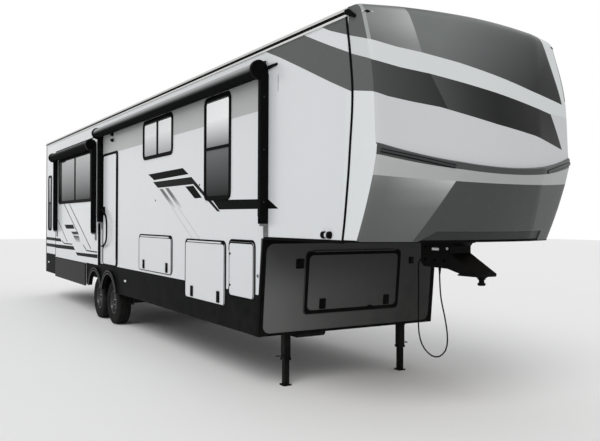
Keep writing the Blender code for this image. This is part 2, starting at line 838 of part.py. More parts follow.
def behind_seam():
    """Cutter for what lies behind the seam or below the overhang."""
    low, high, back, ahead = OVERHANG_Z - 0.5, ROOF_EDGE_Z + 0.5, SEAM_BASE_X - 1, SEAM_TOP_X + 2
    outline = [
        (back, low),
        (ahead, low),
        (ahead, OVERHANG_Z),
        (seam_x(OVERHANG_Z), OVERHANG_Z),
        (seam_x(high), high),
        (back, high),
    ]
    return prism(outline, -2 * HALF_WIDTH, 2 * HALF_WIDTH, side_frame(LEFT))


def cap_body(rows, inset, trim):
    """Closed body drawn through cap rows, all inset, and run on past the seam and the foot."""
    bm = bmesh.new()
    across = (HALF_WIDTH - inset) / HALF_WIDTH
    below = rows[0]._replace(tip=rows[0].tip - trim, centre=rows[0].centre - trim)
    lifted = []
    for row in (below, *rows):
        drop = inset if row is rows[-1] else 0.0
        back = seam_x(row.tip) - trim
        points = [(back, -HALF_WIDTH, row.tip)]
        points += [(x - inset, y, cap_height(row, y)) for y, x in cap_plan(row)]
        points += [(back, HALF_WIDTH, row.tip)]
        lifted.append([bm.verts.new((x, y * across, z - drop)) for x, y, z in points])
    for low, high in zip(lifted, lifted[1:]):
        for i in range(len(low) - 1):
            bm.faces.new((low[i], low[i + 1], high[i + 1], high[i]))
        bm.faces.new((low[0], high[0], high[-1], low[-1]))
    bm.faces.new(lifted[0][::-1])
    edge = lifted[-1]
    back = [edge[0], edge[0]]
    for vert in edge[2:-2]:
        z = rows[-1].tip + crown(vert.co.y / across) - inset
        back.append(bm.verts.new((edge[0].co.x, vert.co.y, z)))
    back += [edge[-1], edge[-1]]
    for i in range(1, len(edge) - 2):
        corners = [edge[i], edge[i + 1], back[i + 1], back[i]]
        bm.faces.new(list(dict.fromkeys(corners)))
    bm.faces.new(back[1:-1])
    return to_mesh(bm)


def recess_tool():
    """Cutter for the recess: what lies in its outline and outside a face set back from the cap's."""
    low = OVERHANG_Z - WALL
    outline = [
        (RECESS_BASE_Y0, low),
        (RECESS_Y1, low),
        (RECESS_Y1, RECESS_TOP_Z),
        (RECESS_TOP_Y0, RECESS_TOP_Z),
        (RECESS_BASE_Y0, OVERHANG_Z),
    ]
    along_x = Matrix(((0, 0, 1, 0), (1, 0, 0, 0), (0, 1, 0, 0), (0, 0, 0, 1)))
    ahead = prism(outline, SEAM_TOP_X, SEAM_TOP_X + 1, along_x)
    return cut(ahead, cap_body(CAP_ROWS, RECESS_DEPTH, 3 * CAP_TRIM))


def nose_cap():
    """Moulded cap: the body drawn through its rows, hollowed, and trimmed at seam and foot."""
    plain = [row for row in CAP_ROWS if row.lining]
    return cut(
        cap_body(CAP_ROWS, 0.0, CAP_TRIM),
        cap_body(plain, CAP_THICK, 2 * CAP_TRIM),
        recess_tool(),
        behind_seam(),
    )


def chassis_frame():
    """Two I-section rails that step down under the storage bay, and their cross members."""
    rear_top = SKIRT_TOP_Z - 2 * SEAT - MAIN_FLOOR_THICK
    front_top = STORAGE_FLOOR_Z - STORAGE_FLOOR_THICK - SEAT
    base = rear_top - RAIL_DEPTH
    back = REAR_X + WALL + SEAT
    pieces = []
    for side in (RIGHT, LEFT):
        y = side * RAIL_Y
        pieces.append(i_beam(back, RISER_X - SEAT, y, base, rear_top))
        pieces.append(i_beam(RISER_X - 0.20, RAIL_FRONT_X, y, base, front_top))
        pieces.append(box(-0.90, RAIL_FRONT_X + 0.05, y - 0.03, y + 0.03, base + 0.02, front_top - 0.02))
    span = RAIL_FRONT_X - back
    for i in range(CROSS_MEMBERS):
        x = back + 0.10 + (span - 0.20) * i / (CROSS_MEMBERS - 1)
        pieces.append(
            box(x, x + CROSS_WIDTH, -RAIL_Y, RAIL_Y, base + 0.02, base + 0.02 + CROSS_DEPTH)
        )
    return fuse(*pieces)


def i_beam(x0, x1, y, z0, z1):
    """I-section beam along X."""
    half, plate = RAIL_FLANGE / 2, RAIL_PLATE
    outline = [
        (-half, z0),
        (half, z0),
        (half, z0 + plate),
        (plate / 2, z0 + plate),
        (plate / 2, z1 - plate),
        (half, z1 - plate),
        (half, z1),
        (-half, z1),
        (-half, z1 - plate),
        (-plate / 2, z1 - plate),
        (-plate / 2, z0 + plate),
        (-half, z0 + plate),
    ]
    along_x = Matrix(((0, 0, 1, 0), (1, 0, 0, y), (0, 1, 0, 0), (0, 0, 0, 1)))
    return prism(outline, x0, x1, along_x)


def rail_base():
    """Underside of the chassis rails."""
    return SKIRT_TOP_Z - 2 * SEAT - MAIN_FLOOR_THICK - RAIL_DEPTH


def underbelly():
    """Sheet that closes the underside between the rails."""
    half = RAIL_Y - RAIL_FLANGE / 2 - SEAT
    top = rail_base() + 0.02 - SEAT
    return box(REAR_X + WALL + SEAT, RAIL_FRONT_X, -half, half, top - BELLY_THICK, top)


def axle(x):
    """Axle tube with a brake backing plate near each end."""
    end = WHEEL_Y + HUB_INNER - SEAT
    tube = rod((x, -end, TYRE_RADIUS), (x, end, TYRE_RADIUS), AXLE_TUBE_RADIUS, 16)
    plate_y = WHEEL_Y - TYRE_WIDTH / 2 + 0.015
    plates = [
        rod((x, s * plate_y, TYRE_RADIUS), (x, s * (plate_y + 0.02), TYRE_RADIUS), 0.15, 24)
        for s in (RIGHT, LEFT)
    ]
    return fuse(tube, *plates)


def suspension(side):
    """Two leaf springs, their hangers and the equaliser between them."""
    y0 = side * RAIL_Y - SPRING_WIDTH / 2
    seat = TYRE_RADIUS + AXLE_TUBE_RADIUS + SEAT
    eye = seat + SPRING_EYE_RISE
    half = AXLE_SPACING / 2 - 0.06
    pieces = []
    for x in wheel_centres():
        pieces.append(leaf_spring(x, half, seat, eye, y0))
    front, rear = wheel_centres()
    middle = (front + rear) / 2
    for x in (front + half, middle, rear - half):
        top = rail_base() - SEAT
        pieces.append(box(x - 0.04, x + 0.04, y0 - 0.006, y0 + SPRING_WIDTH + 0.006, eye - 0.04, top))
    inner, outer = y0 + 0.004, y0 + SPRING_WIDTH - 0.004
    pieces.append(box(middle - 0.09, middle + 0.09, inner, outer, eye - 0.03, eye + 0.03))
    return fuse(*pieces)


def leaf_spring(x, half, seat, eye, y0):
    """Bowed leaf pack, lowest over the axle."""
    steps = 8
    low, high = [], []
    for i in range(steps + 1):
        u = -half + 2 * half * i / steps
        rise = (eye - seat) * (u / half) ** 2
        low.append((x + u, seat + rise))
        high.append((x + u, seat + rise + SPRING_THICK))
    outline = low + high[::-1]
    return prism(outline, y0, y0 + SPRING_WIDTH, side_frame(LEFT))


def wheel_frame(x, side):
    """Frame at a wheel's centre whose third axis points outward."""
    turn = Matrix(((1, 0, 0, 0), (0, 0, side, 0), (0, 1, 0, 0), (0, 0, 0, 1)))
    return Matrix.Translation((x, side * WHEEL_Y, TYRE_RADIUS)) @ turn


def tyre(x, side):
    """Tyre with a rounded section."""
    half = TYRE_WIDTH / 2
    profile = [
        (RIM_RADIUS, -half * 0.80),
        (RIM_RADIUS + 0.045, -half * 0.98),
        (RIM_RADIUS + 0.105, -half),
        (TYRE_RADIUS - 0.030, -half * 0.90),
        (TYRE_RADIUS, -half * 0.70),
        (TYRE_RADIUS, half * 0.70),
        (TYRE_RADIUS - 0.030, half * 0.90),
        (RIM_RADIUS + 0.105, half),
        (RIM_RADIUS + 0.045, half * 0.98),
        (RIM_RADIUS, half * 0.80),
    ]
    return revolve(profile, TYRE_SIDES, wheel_frame(x, side))


def rim(x, side):
    """Wheel rim: barrel with lips, and a dished disc with spoke windows."""
    frame = wheel_frame(x, side)
    half = TYRE_WIDTH / 2 * 0.80
    outer = RIM_RADIUS - SEAT
    barrel = [
        (outer, -half),
        (outer, half),
        (outer - 0.014, half + 0.004),
        (outer - 0.022, half - 0.03),
        (outer - 0.022, -half),
    ]
    ring = revolve(barrel, TYRE_SIDES, frame)
    face = [(0.060, HUB_INNER), (outer - 0.010, 0.045), (outer - 0.010, 0.060), (0.070, 0.052)]
    disc = lathe(face, 28, frame)
    hub = lathe([(0.056, HUB_INNER), (0.056, 0.066), (0.040, 0.085)], 16, frame)
    windows = []
    for i in range(8):
        angle = 2 * math.pi * i / 8
        outline = [(0.085, -0.012), (0.160, -0.030), (0.160, 0.030), (0.085, 0.012)]
        turned = frame @ Matrix.Rotation(angle, 4, "Z")
        windows.append(prism(outline, 0.0, 0.10, turned))
    disc = cut(disc, *windows)
    return fuse(ring, disc, hub)


def landing_leg(side):
    """Square drop leg: outer tube on the frame, inner tube and a foot on the ground."""
    y = side * LEG_Y
    top = STORAGE_FLOOR_Z - STORAGE_FLOOR_THICK - SEAT
    pieces = [
        square(LEG_X, y, LEG_TUBE, LEG_SHOULDER_Z, top),
        square(LEG_X, y, LEG_INNER, FOOT_THICK / 2, LEG_SHOULDER_Z + 0.10),
        square(LEG_X, y, FOOT_SIZE, 0.0, FOOT_THICK),
    ]
    return fuse(*pieces)


def square(x, y, size, z0, z1):
    """Square bar upright on a centre."""
    half = size / 2
    return box(x - half, x + half, y - half, y + half, z0, z1)


def pin_box():
    """Welded pin box that drops from the overhang to the king pin's plate."""
    top = OVERHANG_Z - SEAT
    side = [
        (PIN_BOX_BACK_X, top),
        (PIN_BOX_BACK_X, 1.442),
        (1.314, 1.404),
        (1.650, 1.396),
        (1.800, 1.362),
        (1.880, PIN_PLATE_Z + PIN_PLATE_THICK / 2),
        (2.020, PIN_PLATE_Z + PIN_PLATE_THICK / 2),
        (2.015, 1.368),
        (1.690, 1.543),
        (1.690, 1.610),
        (1.733, top),
    ]
    body = prism(side, -PIN_BOX_HALF, PIN_BOX_HALF, side_frame(LEFT))
    half, tip = PIN_PLATE_HALF, PIN_PLATE_TIP_HALF
    outline = [
        (PIN_PLATE_BACK_X, -half),
        (PIN_PLATE_CORNER_X, -half),
        (PIN_PLATE_TIP_X, -tip),
        (PIN_PLATE_TIP_X, tip),
        (PIN_PLATE_CORNER_X, half),
        (PIN_PLATE_BACK_X, half),
    ]
    plate = prism(outline, PIN_PLATE_Z, PIN_PLATE_Z + PIN_PLATE_THICK)
    back, under = CORD_ROUTE[0], CORD_ROUTE[-1]
    sunk = (PIN_BOX_BACK_X + GLAND_SINK, CORD_Y, back[1])
    glands = [
        rod((back[0], CORD_Y, back[1]), sunk, GLAND_RADIUS, 12),
        rod((under[0], CORD_Y, under[1]), (under[0], CORD_Y, GLAND_TOP_Z), GLAND_RADIUS, 12),
    ]
    return fuse(body, plate, *glands)


def king_pin():
    """Turned king pin: shank, neck and bottom flange."""
    profile = [
        (0.0365, 0.0),
        (0.0365, -0.030),
        (0.0254, -0.030),
        (0.0254, -0.062),
        (0.0365, -0.062),
        (0.0365, -0.080),
        (0.0300, -0.086),
    ]
    frame = Matrix.Translation((PIN_X, 0, PIN_PLATE_Z - SEAT))
    return lathe(profile, 24, frame)


def smooth_route(points, count):
    """Evenly spaced points on a smooth curve through the given ones."""
    ends = [tuple(2 * a - b for a, b in zip(points[0], points[1]))]
    tail = [tuple(2 * a - b for a, b in zip(points[-1], points[-2]))]
    padded = ends + list(points) + tail
    fine = []
    for i in range(1, len(padded) - 2):
        p0, p1, p2, p3 = (Vector(p) for p in padded[i - 1 : i + 3])
        for step in range(12):
            t = step / 12
            blend = (
                2 * p1
                + (p2 - p0) * t
                + (2 * p0 - 5 * p1 + 4 * p2 - p3) * t**2
                + (3 * p1 - p0 - 3 * p2 + p3) * t**3
            )
            fine.append(blend / 2)
    fine.append(Vector(padded[-2]))
    lengths = [0.0]
    for a, b in zip(fine, fine[1:]):
        lengths.append(lengths[-1] + (b - a).length)
    result, k = [], 0
    for i in range(count):
        target = lengths[-1] * i / (count - 1)
        while k < len(fine) - 2 and lengths[k + 1] < target:
            k += 1
        share = (target - lengths[k]) / (lengths[k + 1] - lengths[k])
        result.append(fine[k].lerp(fine[k + 1], share))
    return result


def cord(carrier):
    """Free cord that hangs in one loop from a gland behind the pin box to one under it."""
    back, under = CORD_ROUTE[0], CORD_ROUTE[-1]
    points = [(x, CORD_Y, z) for x, z in (*CORD_ROUTE[1:-1], (under[0], under[1] - SEAT))]
    route = [Vector((back[0] - SEAT, CORD_Y, back[1]))] + smooth_route(points, CORD_POINTS)
    data = bpy.data.curves.new("pin_box_cord", "CURVE")
    data.dimensions = "3D"
    data.bevel_depth = CORD_RADIUS
    data.bevel_resolution = 1
    data.use_fill_caps = True
    spline = data.splines.new("POLY")
    spline.points.add(len(route) - 1)
    for point, place_at in zip(spline.points, route):
        point.co = (*place_at, 1.0)
    data.materials.append(trim_black())
    obj = bpy.data.objects.new("pin_box_cord", data)
    obj.parent = carrier
    bpy.context.scene.collection.objects.link(obj)
    return obj


def awning(spec):
    """Rolled awning between two arms on the door side."""
    y = RIGHT * (spec.face + ROLLER_STAND_OFF)
    z = spec.roller_z
    half = ARM_WIDTH / 2
    head_radius = ROLLER_RADIUS + ROLLER_HEAD
    pieces = [rod((spec.x0, y, z), (spec.x1, y, z), ROLLER_RADIUS, ROLLER_SIDES)]
    for x in (spec.x0, spec.x1):
        arm = rounded(x - half, x + half, spec.foot_z, z + ROLLER_RADIUS, 0.0)
        pieces.append(prism(arm, spec.face + SEAT, spec.face + ARM_DEPTH, side_frame(RIGHT)))
        pieces.append(rod((x - half, y, z), (x + half, y, z), head_radius, ROLLER_SIDES))
    return fuse(*pieces)


def bumper():
    """Square rear bumper tube."""
    back = REAR_X - SEAT
    half = HALF_WIDTH - BUMPER_INSET
    top = BUMPER_BASE_Z + BUMPER_SIZE
    return box(back - BUMPER_SIZE, back, -half, half, BUMPER_BASE_Z, top)


def ladder():
    """Rear ladder: two stiles on stand-offs, with rungs between."""
    x = REAR_X - LADDER_STAND_OFF
    low, high = LADDER_LOW_Z, ROOF_EDGE_Z - LADDER_TOP_DROP
    stiles = (LADDER_Y0, LADDER_Y1)
    pieces = [rod((x, y, low), (x, y, high), LADDER_RADIUS, 8) for y in stiles]
    first, last = low + RUNG_END, high - RUNG_END
    for i in range(RUNG_COUNT):
        z = first + (last - first) * i / (RUNG_COUNT - 1)
        pieces.append(rod((x, LADDER_Y0, z), (x, LADDER_Y1, z), RUNG_RADIUS, 8))
    clear = RUNG_END / 2
    middle = (low + high) / 2 + clear
    for z in (low + clear, middle, high - clear):
        for y in stiles:
            pieces.append(rod((x, y, z), (REAR_X - SEAT, y, z), RUNG_RADIUS, 8))
    return fuse(*pieces)


def air_unit(unit):
    """Low roof housing: a shroud with rounded corners that draws in towards its top."""
    base = ROOF_EDGE_Z + ROOF_CROWN + SEAT
    bm = bmesh.new()
    rings = []
    for rise, share in AIR_PROFILE:
        x, y = unit.length / 2 * share, unit.width / 2 * share
        outline = rounded(-x, x, -y, y, AIR_CORNER, 3)
        z = base + rise * unit.height
        rings.append([bm.verts.new((unit.x + u, v, z)) for u, v in outline])
    for low, high in zip(rings, rings[1:]):
        for k in range(len(low)):
            n = (k + 1) % len(low)
            bm.faces.new((low[k], low[n], high[n], high[k]))
    bm.faces.new(rings[0][::-1])
    bm.faces.new(rings[-1])
    return to_mesh(bm)


def build():
    clear_scene()
    carrier = bpy.data.objects.new("trailer", None)
    bpy.context.scene.collection.objects.link(carrier)

    place("side_wall_right", side_wall(RIGHT), wall_white(), carrier)
    place("side_wall_left", side_wall(LEFT), wall_white(), carrier)
    place("rear_wall", rear_wall(), wall_white(), carrier)
    place("front_wall", front_wall(), front_grey(), carrier)
    place("skirt_right", skirt(RIGHT), skirt_black(), carrier)
    place("skirt_left", skirt(LEFT), skirt_black(), carrier)
    place("fender_right", fender(RIGHT), trim_black(), carrier)
    place("fender_left", fender(LEFT), trim_black(), carrier)
    place("main_floor", main_floor(), floor_board(), carrier)
    place("upper_floor", upper_floor(), floor_board(), carrier)
    place("storage_floor", storage_floor(), floor_board(), carrier)
    place("roof", roof(), roof_white(), carrier)

    place("nose_cap", nose_cap(), nose_silver(), carrier)

    place("chassis_frame", chassis_frame(), frame_black(), carrier)
    place("underbelly", underbelly(), skirt_black(), carrier)
    for label, x in zip(("front", "rear"), wheel_centres()):
        place(f"axle_{label}", axle(x), frame_black(), carrier)
        for side_name, side in (("right", RIGHT), ("left", LEFT)):
            hub = (x, side * WHEEL_Y, TYRE_RADIUS)
            place(f"tyre_{label}_{side_name}", tyre(x, side), tyre_rubber(), carrier, hub)
            place(f"rim_{label}_{side_name}", rim(x, side), rim_black(), carrier, hub)
    for side_name, side in (("right", RIGHT), ("left", LEFT)):
        place(f"suspension_{side_name}", suspension(side), frame_black(), carrier)
        place(f"landing_leg_{side_name}", landing_leg(side), frame_black(), carrier)

    place("pin_box", pin_box(), frame_black(), carrier)
    place("king_pin", king_pin(), frame_black(), carrier)
    cord(carrier)

    for name, door in DOORS.items():
        leaf, hinge = side_door(door)
        if name == "entry_door":
            leaf = fuse(leaf, *grab_bar())
        place(name, leaf, wall_white(), carrier, hinge)
    leaf, hinge = front_door()
    place("front_door", leaf, front_grey(), carrier, hinge)

    for name, room in ROOMS.items():
        place(name, slide_room(room), wall_white(), carrier)
    for name, window in WINDOWS.items():
        place(name, window_unit(window), window_dark(), carrier)

    for name, spec in AWNINGS.items():
        place(name, awning(spec), trim_black(), carrier)
    place("rear_bumper", bumper(), frame_black(), carrier)
    place("rear_ladder", ladder(), bright_steel(), carrier)
    for name, unit in AIR_UNITS.items():
        place(name, air_unit(unit), roof_white(), carrier)

    centre(carrier)


def centre(carrier):
    """Move the carrier so that the middle of the box, without the cord, is over the origin."""
    bpy.context.view_layer.update()
    graph = bpy.context.evaluated_depsgraph_get()
    low = [math.inf, math.inf]
    high = [-math.inf, -math.inf]
    for obj in carrier.children:
        if obj.type != "MESH":
            continue
        solid = obj.evaluated_get(graph)
        for corner in solid.bound_box:
            point = solid.matrix_world @ Vector(corner)
            for axis in (0, 1):
                low[axis] = min(low[axis], point[axis])
                high[axis] = max(high[axis], point[axis])
    carrier.location = (-(low[0] + high[0]) / 2, -(low[1] + high[1]) / 2, 0.0)


if __name__ == "__main__":
    build()
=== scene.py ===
"""Looks of a parked fifth wheel travel trailer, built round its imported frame.

Metres. +X is the nose, +Y the off side, -Y the side with the entry door and +Z up.
Places are given as in the part's source: from the front lower wall, the centreline and
the ground. One shift then carries them into the row frame.
"""

import logging
import math
from dataclasses import dataclass
from enum import Enum
from typing import Iterable, Optional, Sequence

import bmesh
import bpy
from mathutils import Matrix, Vector


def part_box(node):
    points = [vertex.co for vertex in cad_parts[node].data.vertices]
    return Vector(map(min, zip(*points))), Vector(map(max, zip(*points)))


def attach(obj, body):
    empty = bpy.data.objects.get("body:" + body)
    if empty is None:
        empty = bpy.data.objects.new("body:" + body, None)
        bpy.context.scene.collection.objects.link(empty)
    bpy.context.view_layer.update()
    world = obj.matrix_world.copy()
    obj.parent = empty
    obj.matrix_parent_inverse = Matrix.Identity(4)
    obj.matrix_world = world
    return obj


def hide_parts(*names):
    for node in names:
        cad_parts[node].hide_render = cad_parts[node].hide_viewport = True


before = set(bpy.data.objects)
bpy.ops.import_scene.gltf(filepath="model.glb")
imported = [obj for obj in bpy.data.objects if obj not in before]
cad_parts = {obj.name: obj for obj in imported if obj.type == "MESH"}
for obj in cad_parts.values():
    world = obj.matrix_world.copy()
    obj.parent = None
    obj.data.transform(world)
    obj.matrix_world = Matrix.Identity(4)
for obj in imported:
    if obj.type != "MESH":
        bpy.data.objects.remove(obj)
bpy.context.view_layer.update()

LOG = logging.getLogger("trailer")

Point2 = tuple[float, float]
Point3 = tuple[float, float, float]
Outline = list[Point2]
Colour = tuple[float, float, float]

# Sizes shared with the part's source
HALF_WIDTH = 1.22
REAR_X = -11.30
OVERHANG_Z = 1.655
ROOF_EDGE_Z = 3.70
ROOF_CROWN = 0.06
FRONT_LEAN = 0.10
SEAM_BASE_X = 1.47
SEAM_TOP_X = 1.56
SKIRT_BASE_Z = 0.585
SEAT = 0.0003
FASCIA_FACE = HALF_WIDTH + SEAT + 0.035
TYRE_RADIUS = 0.3875
TYRE_WIDTH = 0.235
RIM_RADIUS = 0.205
WHEEL_Y = 1.06
AXLES = {"front": -5.748, "rear": -6.668}
ARCH_Z = 0.45
ARCH_RADIUS = 0.44
LEG_X = -0.205
LEG_Y = 0.82
PIN_X = 1.958
PIN_PLATE_Z = 1.343
PIN_BOX_HALF = 0.13
DOOR_FACE = HALF_WIDTH + 0.008

# Thickness of a stripe, and the off side's bare stretch round the bedroom room
STRIPE_RISE = 0.0008
BEDROOM_REAR_X = -3.66
BEDROOM_FRONT_X = -1.27


def layout_shift() -> Vector:
    """Carry of the layout into the row frame.

    Returns:
        The vector that every layout point is moved by.
    """
    low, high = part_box("rear_wall")
    return Vector((low.x - REAR_X, (low.y + high.y) / 2, 0.0))


SHIFT = layout_shift()


class Side(Enum):
    """The two long sides of the trailer."""

    DOOR = -1
    OFF = 1

    @property
    def plane(self) -> Matrix:
        """Frame of x, height and distance out from the centreline."""
        return Matrix(((1, 0, 0, 0), (0, 0, self.value, 0), (0, 1, 0, 0), (0, 0, 0, 1)))

    @property
    def label(self) -> str:
        """Word used in piece names."""
        return "right" if self is Side.DOOR else "left"


def srgb(red: float, green: float, blue: float) -> Colour:
    """Linear colour of an 0 to 255 display colour.

    Args:
        red, green, blue: display values.

    Returns:
        The scene-linear colour.
    """

    def linear(value: float) -> float:
        share = value / 255
        return share / 12.92 if share <= 0.04045 else ((share + 0.055) / 1.055) ** 2.4

    return linear(red), linear(green), linear(blue)


def crown(y: float) -> float:
    """Height of the roof above its edge."""
    return ROOF_CROWN * max(0.0, 1 - (y / HALF_WIDTH) ** 2)


def seam_x(z: float) -> float:
    """Joint line between the sides and the moulded nose."""
    share = (z - OVERHANG_Z) / (ROOF_EDGE_Z - OVERHANG_Z)
    return SEAM_BASE_X + (SEAM_TOP_X - SEAM_BASE_X) * share


def front_x(z: float) -> float:
    """Outer face of the leaning lower front wall."""
    return -FRONT_LEAN * (OVERHANG_Z - z) / (OVERHANG_Z - SKIRT_BASE_Z)


def front_plane() -> Matrix:
    """Frame on the leaning front wall: across, up its slope from the foot, and out of it."""
    slope = Vector((FRONT_LEAN, 0, OVERHANG_Z - SKIRT_BASE_Z)).normalized()
    out = Vector((slope.z, 0, -slope.x))
    plane = Matrix.Identity(4)
    for i, column in enumerate((Vector((0, 1, 0)), slope, out)):
        for row in range(3):
            plane[row][i] = column[row]
    plane.translation = Vector((front_x(SKIRT_BASE_Z), 0, SKIRT_BASE_Z))
    return plane


def up_plane(x: float = 0.0, y: float = 0.0, z: float = 0.0) -> Matrix:
    """Level frame about a point, with its third axis up."""
    return Matrix.Translation((x, y, z))


def along_plane(x: float, y: float, z: float) -> Matrix:
    """Frame of y, z and x about a point, for forms that run along the trailer."""
    turn = Matrix(((0, 0, 1, 0), (1, 0, 0, 0), (0, 1, 0, 0), (0, 0, 0, 1)))
    return Matrix.Translation((x, y, z)) @ turn


def wheel_plane(x: float, side: Side) -> Matrix:
    """Frame at a wheel's centre whose third axis points outward."""
    return Matrix.Translation((x, side.value * WHEEL_Y, TYRE_RADIUS)) @ side.plane


def rect(u0: float, u1: float, v0: float, v1: float) -> Outline:
    """Rectangle between two edges each way, anticlockwise."""
    return [(u0, v0), (u1, v0), (u1, v1), (u0, v1)]


def rounded(u0: float, u1: float, v0: float, v1: float, radius: float, steps: int = 6) -> Outline:
    """Rectangle with round corners.

    Args:
        u0, u1, v0, v1: its edges.
        radius: corner radius.
        steps: segments in each corner.

    Returns:
        The outline, anticlockwise.
    """
    centres = (
        (u1 - radius, v0 + radius, -90),
        (u1 - radius, v1 - radius, 0),
        (u0 + radius, v1 - radius, 90),
        (u0 + radius, v0 + radius, 180),
    )
    points = []
    for cu, cv, start in centres:
        for i in range(steps + 1):
            angle = math.radians(start + 90 * i / steps)
            points.append((cu + radius * math.cos(angle), cv + radius * math.sin(angle)))
    return points


def circle(radius: float, sides: int, cu: float = 0.0, cv: float = 0.0) -> Outline:
    """Round outline about a centre."""
    turns = (2 * math.pi * i / sides for i in range(sides))
    return [(cu + radius * math.cos(a), cv + radius * math.sin(a)) for a in turns]


def inset(edges: Sequence[float], gap: float, radius: float) -> Outline:
    """Round-cornered rectangle that stands a gap inside the edges u0, u1, v0 and v1."""
    u0, u1, v0, v1 = edges
    return rounded(u0 + gap, u1 - gap, v0 + gap, v1 - gap, radius)


def eased(edges: Sequence[float], steps: Sequence[Sequence[float]]) -> list[tuple[float, Outline]]:
    """Levels of a raised plate, from (height, gap inside its edges, corner radius) steps."""
    return [(height, inset(edges, gap, radius)) for height, gap, radius in steps]


def domed(
    place: Sequence[float], size: Sequence[float], steps: Sequence[Point2]
) -> list[tuple[float, Outline]]:
    """Levels of a lens that shrinks about its centre.

    Args:
        place: its centre.
        size: half its length, half its height, and its corner radius.
        steps: (height, share of the size) pairs.

    Returns:
        The levels.
    """
    (u, v), (reach, high, radius) = place, size
    return [
        (w, rounded(u - reach * s, u + reach * s, v - high * s, v + high * s, radius * s)) for w, s in steps
    ]


def round_about(plane: Matrix, count: int, radius: float, height: float) -> list[Matrix]:
    """Frames spaced evenly on a circle about a plane's third axis."""
    return [plane @ Matrix.Translation((u, v, height)) for u, v in circle(radius, count)]


def over_roof(x: float, half: int, reach: float, rise: float) -> list[Vector]:
    """Points across the crowned roof.

    Args:
        x: where they lie along the trailer.
        half: steps on each side of the middle.
        reach: share of the half width that they reach.
        rise: height above the roof.

    Returns:
        The points, from the door side.
    """
    ys = [HALF_WIDTH * (i / half - 1) * reach for i in range(2 * half + 1)]
    return [Vector((x, y, ROOF_EDGE_Z + rise + crown(y))) for y in ys]


def catmull(p0: object, p1: object, p2: object, p3: object, t: float) -> object:
    """Point or number a share t from p1 to p2 on the smooth curve through all four."""
    line = 2 * p1 + (p2 - p0) * t
    return (line + (2 * p0 - 5 * p1 + 4 * p2 - p3) * t**2 + (3 * p1 - p0 - 3 * p2 + p3) * t**3) / 2


def smooth_line(points: Sequence[Sequence[float]], count: int) -> list[Vector]:
    """Evenly spaced points on a smooth curve through the given ones.

    Args:
        points: points that the curve passes through.
        count: how many points to return.

    Returns:
        The points, first and last as given.
    """
    ends = [tuple(2 * a - b for a, b in zip(points[0], points[1]))]
    tail = [tuple(2 * a - b for a, b in zip(points[-1], points[-2]))]
    padded = ends + [tuple(p) for p in points] + tail
    fine: list[Vector] = []
    for i in range(1, len(padded) - 2):
        near = [Vector(p) for p in padded[i - 1 : i + 3]]
        fine += [catmull(*near, step / 12) for step in range(12)]
    fine.append(Vector(padded[-2]))
    lengths = [0.0]
    for a, b in zip(fine, fine[1:]):
        lengths.append(lengths[-1] + (b - a).length)
    result, k = [], 0
    for i in range(count):
        target = lengths[-1] * i / (count - 1)
        while k < len(fine) - 2 and lengths[k + 1] < target:
            k += 1
        share = (target - lengths[k]) / (lengths[k + 1] - lengths[k])
        result.append(fine[k].lerp(fine[k + 1], share))
    return result


